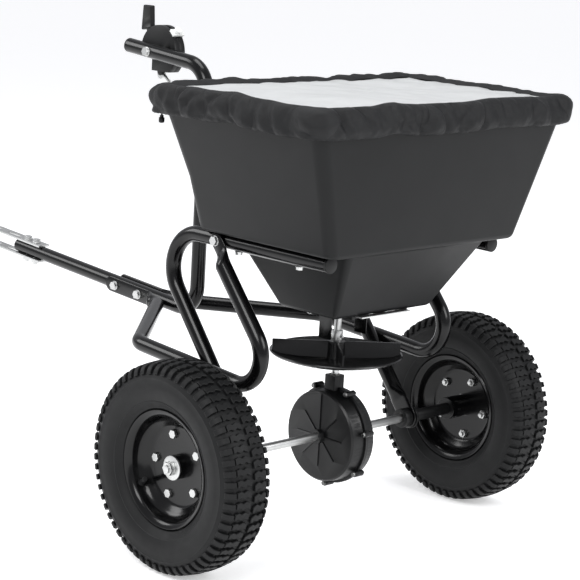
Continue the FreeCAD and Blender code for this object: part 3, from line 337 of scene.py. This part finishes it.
def around(obj, count, centre, axis):
    """Copies a shape evenly round an axis."""
    calm()
    bpy.ops.object.empty_add()
    turn = bpy.context.object
    turn.matrix_world = (Matrix.Translation(centre) @ Matrix.Rotation(math.tau / count, 4, axis)
                         @ Matrix.Translation(-centre))
    bpy.context.view_layer.update()
    modify(obj, "ARRAY", count=count, use_relative_offset=False, use_object_offset=True, offset_object=turn)
    bpy.data.objects.remove(turn)
    return obj


def dress(obj, mat, nodes):
    """Gives a piece its finish, and puts it on the body of the CAD nodes that it stands for."""
    obj.data.materials.clear()
    obj.data.materials.append(MATS[mat])
    obj.data.polygons.foreach_set("material_index", [0] * len(obj.data.polygons))
    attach(obj, NODES[nodes[0]]["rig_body"])
    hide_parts(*nodes)
    return obj


MIRROR = Matrix.Diagonal((1, -1, 1, 1))


def tube(name, points, bends, radius, sides=28):
    """Round tube: a ring extruded along the straight runs and spun round the bends. Both ends stay open."""
    calm()
    steps = bpy.context.scene.spreader_sizes.bend_steps
    ahead = (points[1] - points[0]).normalized()
    bpy.ops.mesh.primitive_circle_add(vertices=sides, radius=radius, location=points[0],
                                      rotation=ahead.to_track_quat("Z", "Y").to_euler())
    made = named(name)
    edit(made)
    bpy.ops.mesh.select_all(action="SELECT")
    start = points[0]
    for i, bend in enumerate(bends, 1):
        d_in = (points[i] - points[i - 1]).normalized()
        d_out = (points[i + 1] - points[i]).normalized()
        turn = d_in.angle(d_out)
        back = bend * math.tan(turn / 2.0)
        push(points[i] - d_in * back - start)
        axis = d_in.cross(d_out).normalized()
        centre = points[i] - d_in * back + axis.cross(d_in) * bend
        bpy.ops.mesh.spin(steps=max(4, int(steps * turn)), angle=-turn, center=centre, axis=axis)
        start = points[i] + d_out * back
    push(points[-1] - start)
    return made


def flatten(obj, end, ahead, side, shift, squeeze, length, half, thick=0.0029):
    """Presses the open end at a point flat: the ring is drawn on, squeezed and given a round tip.

    side is the direction, along Y, in which the flat lies off the middle of the tube.
    """
    radius = bpy.context.scene.spreader_sizes.tube_radius
    pick(obj, lambda co: abs((co - end).dot(ahead)) < 1e-5 and (co - end).length < radius * 1.2)
    centre, wide, deep = end.copy(), radius, radius
    steps = []
    for k in range(1, 9):
        f = k / 8.0
        ease = f * f * (3 - 2 * f)
        flat = radius + (thick - radius) * ease
        steps.append((squeeze * f, shift * ease, radius + (half - radius) * ease, flat))
    steps.append((squeeze + length, shift, half, thick))
    for k in range(1, 7):
        a = math.radians(15.0 * k)
        steps.append((squeeze + length + half * math.sin(a), shift, max(half * math.cos(a), 0.0006), thick))
    for run, off, w, t in steps:
        new = end + ahead * run + side * off
        push(new - centre)
        bpy.ops.transform.resize(value=(w / wide, t / deep, w / wide), center_override=new)
        centre, wide, deep = new, w, t


def close_ends(obj, smooth=40.0):
    edit(obj)
    bpy.ops.mesh.select_all(action="SELECT")
    bpy.ops.mesh.fill_holes(sides=0)
    return tidy(obj, smooth)


def refined(node_name, mat, width=0.0005, angle=35.0, smooth=30.0):
    """Copy of a hard part with its edges broken and its round faces smooth."""
    source = NODES[node_name]
    only(source)
    bpy.ops.object.duplicate()
    made = bpy.context.object
    made.name = node_name + "_finished"
    made.data.name = made.name
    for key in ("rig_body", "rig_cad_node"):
        if key in made:
            del made[key]
    made.parent = None
    edit(made)
    bpy.ops.mesh.select_all(action="SELECT")
    bpy.ops.mesh.remove_doubles(threshold=0.000002)
    bpy.ops.mesh.dissolve_limited(angle_limit=math.radians(1.0))
    only(made)
    if width:
        soften(made, width, 2, angle)
    bpy.ops.object.shade_smooth_by_angle(angle=math.radians(smooth))
    return dress(made, mat, [node_name])


# ---- wheels -------------------------------------------------------------------------------------
# Outlines are pairs of millimetres: distance out along the axle from the wheel's middle, and radius.
WHEEL_Y = 330.0
TREAD_R = 165.0
BLOCK_R = 163.0           # radius on which the block outlines are laid out
CROWN_FALL = 3.0          # how much lower the tread is at the shoulder
SHOULDER = 30.0
ROOT = 1.5                # how far a block is sunk into the casing
LUG_BACK, LUG_WIDE = 0.0046, 0.0088
HUB = at(0, WHEEL_Y, AXLE.z * 1000)
CASING = ((0, 160.4), (12, 160.0), (22, 158.9), (30, 156.8), (36, 153.4), (40, 149.0), (42.6, 143.0),
          (43.4, 141.2), (44.4, 139.6), (44.1, 137.5), (44.9, 130), (45, 126), (44.5, 119), (43.2, 112),
          (41.2, 107), (41.6, 105.2), (40.4, 103.4), (37, 99), (33.6, 95.8), (33.0, 94.5), (31.0, 93.2),
          (27.0, 92.8), (27.0, 85.3), (18.5, 85.3), (18.5, 92.5), (37, 126), (33, 146), (0, 154))
ZIGZAG = ((28.5, -5.4), (28.5, 4.6), (22.5, 6.8), (17, 3.8), (11, 7.2), (3.2, 3.2), (3.2, -6.6), (11, -2.6),
          (17, -6.0), (22.5, -3.0))
LUG = ((31.0, 154.5), (31.0, 162.4), (35.5, 160.6), (40.0, 156.8), (43.0, 152.0), (43.9, 148.2),
       (42.4, 147.0), (38.6, 149.6))
RIM_HALF = ((2.1, 19.2), (2.1, 58.5), (2.6, 61.5), (4.6, 64.8), (6.2, 66.4), (9.5, 71.8), (13.0, 76.0),
            (17.5, 78.8), (24.5, 80.3), (28.6, 82.0), (31.4, 85.2), (33.2, 89.2), (33.6, 91.2),
            (32.6, 92.2), (31.2, 91.8), (30.6, 88.0), (29.0, 85.6), (26.4, 83.4), (20.0, 82.2),
            (11.5, 79.0), (7.0, 75.0), (3.2, 70.0), (0.1, 65.5), (0.1, 19.2), (2.1, 19.2))
STEM = ((0, 0), (0, 6.2), (2.0, 6.0), (4.0, 4.2), (17.0, 3.2), (17.5, 4.1), (25.0, 4.1), (26.0, 3.4),
        (26.0, 0))
STEM_TURN = 2.1           # radians round the rim from the top
STEM_Y, STEM_R = 0.0155, 0.0785
STEM_LEAN = (0.9, 0.436)  # inward and outward parts of the stem's direction


class SPREADER_OT_tyres(bpy.types.Operator):
    """Tyre casing with its sidewall rings, zigzag tread blocks and shoulder lugs"""
    bl_idname = "spreader.tyres"
    bl_label = "Tyres"

    def execute(self, context):
        s = context.scene.spreader_sizes
        outer = [(u, r) for u, r in CASING]
        outline = outer + [(-u, r) for u, r in outer[-2::-1]]
        casing = turned("tyre_casing", outline, HUB, Y, Z, 128)
        sunk = s.tread_depth * 1000 + ROOT
        blocks = []
        for side, slip in ((1, 0.0), (-1, math.pi / s.tyre_pitches)):
            points = []
            for u, t in ZIGZAG + ZIGZAG[:1]:
                r = TREAD_R - CROWN_FALL * (u / SHOULDER) ** 2 - sunk
                points.append(HUB + Y * (side * u / 1000) + X * (r * math.sin(t / BLOCK_R) / 1000)
                              + Z * (r * math.cos(t / BLOCK_R) / 1000))
            bar = slab("tread_bar", points, Z * (sunk / 1000))
            rim = [HUB + Y * (side * u / 1000) + Z * (r / 1000) - X * LUG_BACK for u, r in LUG + LUG[:1]]
            lug = slab("tread_lug", rim, X * LUG_WIDE)
            pair = joined("tread_pair", [bar, lug])
            soften(pair, 0.0007, 1, 40)
            pair.data.transform(Matrix.Translation(HUB) @ Matrix.Rotation(slip, 4, "Y")
                                @ Matrix.Translation(-HUB))
            blocks.append(around(pair, s.tyre_pitches, HUB, Y))
        tyre = joined("tyre_finished_left", [casing] + blocks)
        only(tyre)
        bpy.ops.object.shade_smooth_by_angle(angle=math.radians(32))
        twin = copied(tyre, "tyre_finished_right", MIRROR)
        dress(tyre, "rubber", ["tyre_left"])
        dress(twin, "rubber", ["tyre_right"])
        return {"FINISHED"}


class SPREADER_OT_rims(bpy.types.Operator):
    """Pressed halves of the two split rims, with a valve stem each"""
    bl_idname = "spreader.rims"
    bl_label = "Rims"

    def execute(self, context):
        outer = turned("rim_finished_outer_left", RIM_HALF, HUB, Y, Z, 96)
        inner = turned("rim_finished_inner_left", RIM_HALF, HUB, -Y, Z, 96)
        for made, which in ((outer, "outer"), (inner, "inner")):
            twin = copied(made, f"rim_finished_{which}_right", MIRROR)
            dress(made, "paint", [f"rim_{which}_left"])
            dress(twin, "paint", [f"rim_{which}_right"])
        out = Z * math.cos(STEM_TURN) + X * math.sin(STEM_TURN)
        foot = HUB + Y * STEM_Y + out * STEM_R
        inward = -out * STEM_LEAN[0] + Y * STEM_LEAN[1]
        stem = turned("valve_stem_left", STEM, foot, inward.normalized(), X.cross(inward).normalized(), 20)
        twin = copied(stem, "valve_stem_right", MIRROR)
        for made, node_name in ((stem, "rim_outer_left"), (twin, "rim_outer_right")):
            made.data.materials.append(MATS["rubber"])
            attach(made, NODES[node_name]["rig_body"])
        return {"FINISHED"}


# ---- tubes --------------------------------------------------------------------------------------
# Millimetres ahead of the axle, left of the middle and above the ground, as the CAD parts have them.
RISE = math.radians(4.0)
SLOPE = math.radians(51.1)
DIAGONAL = math.radians(49.4)
ALONG = Vector((math.cos(RISE), 0, math.sin(RISE)))
LEG = Vector((math.cos(SLOPE), 0, math.sin(SLOPE)))
BRACE = Vector((math.cos(DIAGONAL), 0, math.sin(DIAGONAL)))
FRAME_Z, RAIL_Z = 277.0, 490.0
FRAME_Y, RAIL_Y = 212, 186
JOINT_X, CORNER_X, RAIL_END_X = 80, 246, -151
TONGUE_REAR, TONGUE_FRONT = 395, 858
POST_X, ARM_FRONT = 342, 548
PIVOT_X, PIVOT_Z = 488.0, 742.5
ARM_RISE = math.radians(5.0)
FORK_X, FORK_Y = (430, 418), 26       # where the frame tubes leave the tongue


def on_rise(x, y=0.0):
    """Point of the low frame, whose plane climbs towards the hitch."""
    return at(x * math.cos(RISE), y, FRAME_Z + x * math.sin(RISE))


def arm_point(x):
    """Point on the middle line of the control arm."""
    return at(x, 0, PIVOT_Z + (x - PIVOT_X) * math.tan(ARM_RISE))


def hollow(obj, end, ahead, wall=0.0016):
    """Opens a tube end: the ring is filled, inset by the wall and pushed inwards."""
    pick(obj, lambda co: abs((co - end).dot(ahead)) < 1e-5 and (co - end).length < 0.014)
    bpy.ops.mesh.edge_face_add()
    bpy.ops.mesh.inset(thickness=wall)
    push(ahead * -0.03)


class SPREADER_OT_tubes(bpy.types.Operator):
    """Frame tubes, hoops, tongue and control post, with their pressed-flat ends"""
    bl_idname = "spreader.tubes"
    bl_label = "Tubes"

    def execute(self, context):
        r = context.scene.spreader_sizes.tube_radius
        joint = at(JOINT_X, FRAME_Y, RAIL_Z)
        start = on_rise(FORK_X[0], FORK_Y)
        steep = math.tan(DIAGONAL)
        foot_x = (FRAME_Z - RAIL_Z + steep * JOINT_X) / (steep - math.tan(RISE))
        foot = at(foot_x, FRAME_Y, FRAME_Z + foot_x * math.tan(RISE))
        top = joint - BRACE * 0.046
        path = [start, on_rise(FORK_X[1], FORK_Y), on_rise(CORNER_X, FRAME_Y), foot, top]
        side = tube("frame_tube_finished_left", path, (0.024, 0.034, 0.050), r)
        flatten(side, top, BRACE, -Y, 0.0101, 0.030, 0.016, 0.0125)
        flatten(side, start, ALONG, -Y, 0.0102, 0.025, 0.104, 0.014)
        close_ends(side)
        twin = copied(side, "frame_tube_finished_right", MIRROR)
        dress(side, "paint", ["frame_tube_left"])
        dress(twin, "paint", ["frame_tube_right"])

        bush = at(0, RAIL_Y, AXLE.z * 1000)
        low = bush + LEG * 0.062
        corner = bush + LEG * ((RAIL_Z / 1000 - AXLE.z) / LEG.z)
        hoop = tube("hoop_tube_finished_left", [low, corner, at(RAIL_END_X, RAIL_Y, RAIL_Z)], (0.060,), r)
        flatten(hoop, low, -LEG, -Y, 0.0, 0.030, 0.032, 0.019)
        close_ends(hoop)
        twin = copied(hoop, "hoop_tube_finished_right", MIRROR)
        dress(hoop, "paint", ["hoop_tube_left"])
        dress(twin, "paint", ["hoop_tube_right"])

        rear, front = on_rise(TONGUE_REAR), on_rise(TONGUE_FRONT)
        tongue = tube("tongue_finished", [rear, front], (), r)
        hollow(tongue, front, ALONG)
        dress(close_ends(tongue), "paint", ["tongue_tube"])
        path = [on_rise(394.8), on_rise(POST_X / math.cos(RISE)), arm_point(POST_X), arm_point(ARM_FRONT)]
        post = tube("control_post_finished", path, (0.045, 0.050), r)
        dress(close_ends(post), "paint", ["control_post"])
        return {"FINISHED"}


# ---- hopper -------------------------------------------------------------------------------------
# Each level: rear x, front x, half width and height, in millimetres.
FLOOR_LEVEL = (-97, 26, 110, 386)
LEVELS = ((-166, 96, 160, 502.8), (-181.2, 116, 212.4, 503.0), (-193, 116, 242.3, 590),
          (-210.6, 143, 286.7, 719.6))
FLOOR_CORNER = 0.0078     # rounding of the floor's corners, which grows with the levels
HOPPER_WALL = 0.004
OUTLET = ((-49, 27, 388), (0.026, 0.034, 0.02))


class SPREADER_OT_hopper(bpy.types.Operator):
    """Moulded hopper: a flared body on a rounded ledge, with a funnel and two outlets below"""
    bl_idname = "spreader.hopper"
    bl_label = "Hopper"

    def execute(self, context):
        calm()
        rear, front, half, z = FLOOR_LEVEL
        bpy.ops.mesh.primitive_plane_add(size=1, location=at((rear + front) / 2, 0, z))
        bpy.context.object.scale = ((front - rear) / 1000, half / 500, 1)
        body = named("hopper_finished")
        edit(body)
        bpy.ops.mesh.select_all(action="SELECT")
        bpy.ops.mesh.bevel(offset=FLOOR_CORNER, affect="VERTICES", segments=9)
        bpy.ops.mesh.select_all(action="SELECT")
        for a, b, c, up in LEVELS:
            middle = at((a + b) / 2, 0, up)
            push(middle - at((rear + front) / 2, 0, z))
            bpy.ops.transform.resize(value=((b - a) / (front - rear), c / half, 1), center_override=middle)
            rear, front, half, z = a, b, c, up
        bpy.ops.mesh.delete(type="ONLY_FACE")
        tidy(body, 30)
        soften(body, 0.007, 4, 25)
        modify(body, "SOLIDIFY", thickness=HOPPER_WALL, offset=-1.0)
        (x, y, up), window = OUTLET
        cutters = []
        for side in (1, -1):
            bpy.ops.mesh.primitive_cube_add(size=1, location=at(x, side * y, up))
            bpy.context.object.scale = window
            cutters.append(named("outlet"))
        cutter = joined("outlets", cutters)
        modify(body, "BOOLEAN", operation="DIFFERENCE", object=cutter, solver="EXACT")
        bpy.data.objects.remove(cutter)
        only(body)
        bpy.ops.object.shade_smooth_by_angle(angle=math.radians(30))
        dress(body, "hopper", ["hopper"])
        return {"FINISHED"}


# ---- rain cover ---------------------------------------------------------------------------------
RIM_REAR, RIM_FRONT, RIM_HALF_W = LEVELS[-1][:3]
RIM_CORNER = 22.0


def rim_point(share):
    """Place on the hopper's rim and the outward direction there, going round by share of its length."""
    half_x = (RIM_FRONT - RIM_REAR) / 2 - RIM_CORNER
    half_y = RIM_HALF_W - RIM_CORNER
    quarter = math.pi * RIM_CORNER / 2
    runs = (half_y * 2, quarter, half_x * 2, quarter, half_y * 2, quarter, half_x * 2, quarter)
    left = share % 1.0 * sum(runs)
    for k, run in enumerate(runs):
        if left <= run:
            break
        left -= run
    mid_x = (RIM_FRONT + RIM_REAR) / 2
    corners = ((1, 1), (-1, 1), (-1, -1), (1, -1))
    if k % 2:
        cx, cy = corners[k // 2]
        turn = math.pi / 2 * (k // 2) + left / RIM_CORNER
        out = Vector((math.cos(turn), math.sin(turn), 0))
        return Vector((mid_x + cx * half_x, cy * half_y, 0)) + out * RIM_CORNER, out
    out = (X, Y, -X, -Y)[k // 2]
    way = (Y, -X, -Y, X)[k // 2]
    run_half = run / 2
    reach = half_x + RIM_CORNER if k in (0, 4) else half_y + RIM_CORNER
    return Vector((mid_x, 0, 0)) + out * reach + way * (left - run_half), out


# Section of the band from its bottom hem over the rim to its inner hem: reach outwards and height.
BAND = ((1.6, 691.5), (5.0, 688.5), (10.0, 689.0), (14.0, 693.0), (16.0, 699.0), (16.6, 706.0), (16.0, 713.0),
        (14.2, 720.0), (11.0, 726.5), (6.0, 731.5), (0.5, 734.0), (-5.0, 734.5), (-10.0, 732.6),
        (-15.0, 730.0), (-19.5, 727.6))
BAND_AROUND, BAND_UP = 900, 34        # points round the rim and up the section
BAND_REACH, BAND_LOW = 23.0, 684.0    # how far out and how low the folds may come
OFF_WALL = 1.3                        # the folds stay this far off the hopper
GATHER = 7.5                          # pitch of the small gathers of the hem
TOP_AROUND, TOP_RINGS = 240, 34
BAND_THICK, TOP_THICK = 0.0008, 0.0006        # of the cloth and of the clear sheet, in metres
TOP_EDGE, TOP_Z = 17.0, 727.6         # how far inside the rim the clear top begins, and its height there
CORD_LOCK = ((0, 0), (0, 2.6), (0.8, 4.0), (1.8, 4.5), (7.8, 4.5), (8.4, 4.1), (8.8, 3.0), (11.4, 3.0),
             (12.0, 2.4), (12.2, 1.5), (21.0, 1.4), (21.0, 0))


def band_profile(v):
    """Reach and height of the band's section at a share of the way up it."""
    f = v * (len(BAND) - 1)
    k = min(int(f), len(BAND) - 2)
    f -= k
    return (BAND[k][0] * (1 - f) + BAND[k + 1][0] * f, BAND[k][1] * (1 - f) + BAND[k + 1][1] * f)


def puff(p, tight):
    """Billowing noise: round swellings above 0, parted by sharp creases at -1."""
    return min(3.6 * abs(noise.noise(p * tight)), 1.5) - 1.0


def crumple(p, along, v, pitch):
    """Height of the band's folds at a place: long slanting crumples over a hem of small tight gathers."""
    slant = 26.0 * noise.noise(p * 0.006 + Z * 2.0)
    lean = along + (22.0 + slant) * v
    long_fold = puff(Vector((lean / 1000, v * 0.055, 0.3)), 1000 / (pitch * 1.7))
    cross_fold = puff(Vector(((along - 31.0 * v) / 1000, v * 0.075, 4.0)), 1000 / (pitch * 2.3))
    small = noise.noise(p * 0.09 + Z * (v * 7.0))
    calm_place = 0.80 + 0.7 * noise.noise(p * 0.013 + Y * 7.0)
    return (long_fold + 0.7 * cross_fold + 0.4 * small) * calm_place


def crumple_round(p, share, length, v, pitch, overlap=0.04):
    """The band's folds at a share of the way round, faded into their start so that the ring closes."""
    along = share * length
    f = crumple(p, along, v, pitch)
    late = max(0.0, (share - 1.0 + overlap) / overlap)
    if late:
        f = f * (1 - late) + crumple(p, along - length, v, pitch) * late
    return f


def grid_mesh(name, rows, closed_centre=None):
    """Mesh of rings of points, each joined to the next; the last ring may close on one point."""
    count = len(rows[0])
    points = [tuple(p) for row in rows for p in row]
    faces = []
    for j in range(len(rows) - 1):
        for i in range(count):
            k = (i + 1) % count
            faces.append((j * count + i, j * count + k, (j + 1) * count + k, (j + 1) * count + i))
    if closed_centre is not None:
        points.append(tuple(closed_centre))
        last = (len(rows) - 1) * count
        faces += [(last + i, last + (i + 1) % count, len(points) - 1) for i in range(count)]
    mesh = bpy.data.meshes.new(name)
    mesh.from_pydata(points, [], faces)
    made = bpy.data.objects.new(name, mesh)
    bpy.context.scene.collection.objects.link(made)
    return made


def set_down(p, out, reach, up):
    """Point at a reach outwards from a point of the rim."""
    q = p + out * reach
    return at(q.x, q.y, up)


def rim_length():
    return 2 * (RIM_FRONT - RIM_REAR) + 4 * RIM_HALF_W - (8 - math.tau) * RIM_CORNER


def band_rows(deep, pitch):
    """Rings of points of the gathered band, from the bottom hem to the inner one."""
    length = rim_length()
    gathers = int(length / GATHER)
    rows = []
    for j in range(BAND_UP):
        v = j / (BAND_UP - 1)
        reach, z = band_profile(v)
        hold = min(1.0, 0.35 + 2.4 * v) * (1.0 - 0.65 * max(0.0, (v - 0.6) / 0.4))
        hem = max(0.0, 1.0 - v / 0.22)
        row = []
        for i in range(BAND_AROUND):
            share = i / BAND_AROUND
            p, out = rim_point(share)
            f = crumple_round(p, share, length, v, pitch)
            gather = math.sin(math.tau * gathers * share + 2.5 * noise.noise(p * 0.02))
            more = hold * deep * 1.25 * f + hem * 1.5 * gather + 4.5 * noise.noise(p * 0.008 + Z * 3.0)
            more = max(more, -reach + OFF_WALL) if v < 0.62 else more
            drop = 5.0 * noise.noise(p * 0.017 + X * 5.0) + 1.2 * hem * gather + 2.0 * hold * f * v
            low = 0.0 if v > 0.3 else 0.6
            row.append(set_down(p, out, min(reach + more, BAND_REACH), max(z + drop + low, BAND_LOW)))
        rows.append(row)
    return rows


def top_rows(rise, pitch, mid):
    """Rings of points of the clear top, from its sewn edge inwards."""
    length = rim_length()
    rows = []
    for j in range(TOP_RINGS):
        k = 1.0 - j / TOP_RINGS
        row = []
        for i in range(TOP_AROUND):
            share = i / TOP_AROUND
            p, out = rim_point(share)
            edge = p - out * TOP_EDGE
            q = mid + (edge - mid) * k
            pucker = 1.7 * crumple_round(p, share, length, 1.0, pitch) * max(0.0, (k - 0.7) / 0.3) ** 2
            slack = 3.4 * noise.noise(q * 0.012 + Z * 4) + 1.5 * noise.noise(q * 0.031 + Z * 9)
            bulge = rise * (1 - k ** 2.2) * (0.55 + 0.45 * math.sin(q.y * 0.012 - 0.6))
            row.append(at(q.x, q.y, TOP_Z + bulge + slack * min(1.0, 4 * (1 - k)) + pucker))
        rows.append(row)
    return rows


def cloth_piece(name, rows, thickness, closed_centre=None):
    """Smooth sheet of an even thickness through rings of points."""
    made = grid_mesh(name, rows, closed_centre)
    tidy(made, 180)
    modify(made, "SOLIDIFY", thickness=thickness, offset=0.0)
    only(made)
    bpy.ops.object.shade_smooth()
    return made


class SPREADER_OT_cover(bpy.types.Operator):
    """Rain cover: a gathered elastic band, a milky clear top and the cord lock"""
    bl_idname = "spreader.cover"
    bl_label = "Rain cover"

    def execute(self, context):
        s = context.scene.spreader_sizes
        pitch = s.ruffle_pitch * 1000
        rise = s.sheet_rise * 1000
        band = cloth_piece("cover_band", band_rows(s.ruffle * 1000, pitch), BAND_THICK)
        dress(band, "cloth", ["cover_skirt"])
        mid = Vector(((RIM_FRONT + RIM_REAR) / 2, 0, 0))
        centre = at(mid.x, 0, TOP_Z + rise * 0.6)
        top = cloth_piece("cover_top", top_rows(rise, pitch, mid), TOP_THICK, centre)
        dress(top, "vinyl", ["cover_sheet"])
        low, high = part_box("cover_toggle")
        spot = Vector(((low.x + high.x) / 2, (low.y + high.y) / 2, low.z))
        lock = turned("cover_cord_lock", CORD_LOCK, spot, Z, X, 24)
        dress(lock, "plastic", ["cover_toggle"])
        return {"FINISHED"}


# ---- hard parts ---------------------------------------------------------------------------------
class SPREADER_OT_spinner(bpy.types.Operator):
    """Impeller, its shaft and collar"""
    bl_idname = "spreader.spinner"
    bl_label = "Impeller"

    def execute(self, context):
        refined("impeller", "spinner", 0.0006, 40, 35)
        refined("shaft_collar", "zinc")
        refined("impeller_shaft", "zinc", 0.0003)
        refined("shaft_bracket", "paint", 0.0004)
        return {"FINISHED"}


class SPREADER_OT_gearbox(bpy.types.Operator):
    """Round ribbed gearbox with its screws"""
    bl_idname = "spreader.gearbox"
    bl_label = "Gearbox"

    def execute(self, context):
        for side in ("left", "right"):
            refined(f"gearbox_half_{side}", "gearbox", 0.0005, 35, 28)
        refined("gearbox_screws", "steel", 0.0003)
        return {"FINISHED"}


class SPREADER_OT_controls(bpy.types.Operator):
    """Flow-control box, lever, stop, scale marks and rod"""
    bl_idname = "spreader.controls"
    bl_label = "Controls"

    def execute(self, context):
        refined("control_box_inner", "plastic", 0.0008)
        refined("control_box_outer", "plastic", 0.0008)
        refined("flow_lever", "plastic", 0.0005)
        refined("flow_stop", "stop", 0.0006)
        refined("flow_rod", "zinc", 0.0)
        pivot = at(PIVOT_X, -35.6, PIVOT_Z)
        marks = []
        for k in range(9):
            a = math.radians(-30.0 + 9.0 * k)
            out = X * math.sin(a) + Z * math.cos(a)
            wide = out.cross(Y) * 0.0008
            a0, a1 = pivot + out * (0.031 if k % 4 == 0 else 0.034), pivot + out * 0.0395
            marks.append(slab("mark", [a0 - wide, a1 - wide, a1 + wide, a0 + wide, a0 - wide], Y * -0.0006))
        ticks = joined("scale_marks", marks)
        ticks.data.materials.append(MATS["stop"])
        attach(ticks, "frame")
        return {"FINISHED"}


class SPREADER_OT_fittings(bpy.types.Operator):
    """Straps, bolts, nuts, axle parts and plugs with broken edges"""
    bl_idname = "spreader.fittings"
    bl_label = "Fittings"

    def execute(self, context):
        for name in ("hitch_strap_upper", "hitch_strap_lower", "axle", "axle_washers", "drive_pin"):
            refined(name, "zinc")
        for name in ("frame_bolts", "frame_nuts", "lever_pivot_bolt", "lever_pivot_nut", "body_screws",
                     "axle_nuts", "rim_bolts_left", "rim_bolts_right", "gate_plate"):
            refined(name, "zinc", 0.0004)
        for name in ("wheel_hub_left", "wheel_hub_right"):
            refined(name, "paint")
        for name in ("tube_end_caps", "axle_bush_left", "axle_bush_right", "axle_spacers", "bush_rings",
                     "gate_guides"):
            refined(name, "plastic", 0.0006)
        return {"FINISHED"}


INSIDE = {"zinc": ("collar_pin", "agitator", "pinion_pin", "ring_gear_pin"),
          "steel": ("pinion_gear", "ring_gear"),
          "plastic": ("hub_bushes_left", "hub_bushes_right"),
          "nylon": ("hopper_bush", "gearbox_bush")}


class SPREADER_OT_inside(bpy.types.Operator):
    """Finishes of the parts that sit inside others"""
    bl_idname = "spreader.inside"
    bl_label = "Inner parts"

    def execute(self, context):
        for mat, names in INSIDE.items():
            for name in names:
                NODES[name].data.materials.clear()
                NODES[name].data.materials.append(MATS[mat])
        return {"FINISHED"}


# ---- stage --------------------------------------------------------------------------------------
EYE = Vector((-2.476331, 2.23263, 1.02680))
RIGHT = Vector((-0.69825396, -0.71371168, 0.05529051))
UP = Vector((0.18074367, -0.10103913, 0.97832654))
AHEAD = Vector((0.69265657, -0.69311379, -0.19954984))
LIT_POINT = Vector((-0.3, 0, 0.4))
LIGHTS = (("key", (-1.6, 2.6, 2.6), 1.6, 75), ("side", (-2.8, -0.6, 1.8), 1.4, 45),
          ("front", (2.4, 1.8, 2.2), 1.5, 45), ("top", (0.0, 0.0, 3.2), 1.6, 45))


class SPREADER_OT_stage(bpy.types.Operator):
    """Pale floor, soft lights and the camera"""
    bl_idname = "spreader.stage"
    bl_label = "Stage"

    def execute(self, context):
        calm()
        bpy.ops.mesh.primitive_plane_add(size=40, location=(0, 0, 0))
        floor = named("studio_floor")
        floor.data.materials.append(MATS["floor"])
        lens = bpy.data.cameras.new("camera")
        lens.lens, lens.sensor_width, lens.clip_end = 120.69, 36.0, 100.0
        camera = bpy.data.objects.new("camera", lens)
        bpy.context.scene.collection.objects.link(camera)
        camera.matrix_world = Matrix((
            (RIGHT.x, UP.x, -AHEAD.x, EYE.x), (RIGHT.y, UP.y, -AHEAD.y, EYE.y),
            (RIGHT.z, UP.z, -AHEAD.z, EYE.z), (0, 0, 0, 1)))
        bpy.context.scene.camera = camera
        world = bpy.data.worlds.new("studio")
        world.use_nodes = True
        sky = world.node_tree
        room = sky.nodes["Background"]
        room.inputs[0].default_value = (0.95, 0.96, 1.0, 1)
        room.inputs[1].default_value = 0.62
        backdrop = node(sky, "ShaderNodeBackground", Color=(1, 1, 1, 1), Strength=1.0)
        seen = node(sky, "ShaderNodeLightPath")
        either = node(sky, "ShaderNodeMixShader")
        sky.links.new(seen.outputs["Is Camera Ray"], either.inputs[0])
        sky.links.new(room.outputs[0], either.inputs[1])
        sky.links.new(backdrop.outputs[0], either.inputs[2])
        sky.links.new(either.outputs[0], sky.nodes["World Output"].inputs[0])
        context.scene.world = world
        context.scene.view_settings.view_transform = "Standard"
        for name, place, size, power in LIGHTS:
            data = bpy.data.lights.new(name, "AREA")
            data.size, data.energy = size, power
            light = bpy.data.objects.new(name, data)
            bpy.context.scene.collection.objects.link(light)
            light.location = place
            light.rotation_euler = (LIT_POINT - Vector(place)).to_track_quat("-Z", "Y").to_euler()
        return {"FINISHED"}


# ---- panel and running --------------------------------------------------------------------------
PIECES = (SPREADER_OT_tyres, SPREADER_OT_rims, SPREADER_OT_tubes, SPREADER_OT_hopper, SPREADER_OT_cover,
          SPREADER_OT_spinner, SPREADER_OT_gearbox, SPREADER_OT_controls, SPREADER_OT_fittings,
          SPREADER_OT_inside, SPREADER_OT_stage)


class SPREADER_PT_panel(bpy.types.Panel):
    """Lists the pieces of the spreader"""
    bl_label = "Garden Spreader"
    bl_idname = "SPREADER_PT_panel"
    bl_space_type = "VIEW_3D"
    bl_region_type = "UI"
    bl_category = "Spreader"

    def draw(self, context):
        for group in (context.scene.spreader_sizes, context.scene.spreader_colours):
            for key in group.__annotations__:
                self.layout.prop(group, key)
        for piece in PIECES:
            self.layout.operator(piece.bl_idname)


CLASSES = (SpreaderSizes, SpreaderColours, *PIECES, SPREADER_PT_panel)


def register():
    for cls in CLASSES:
        bpy.utils.register_class(cls)
    bpy.types.Scene.spreader_sizes = bpy.props.PointerProperty(type=SpreaderSizes)
    bpy.types.Scene.spreader_colours = bpy.props.PointerProperty(type=SpreaderColours)


def unregister():
    del bpy.types.Scene.spreader_colours
    del bpy.types.Scene.spreader_sizes
    for cls in reversed(CLASSES):
        bpy.utils.unregister_class(cls)


def main():
    register()
    make_finishes(bpy.context.scene.spreader_colours)
    for piece in PIECES:
        group, name = piece.bl_idname.split(".")
        getattr(getattr(bpy.ops, group), name)()
    calm()


if __name__ == "__main__":
    main()
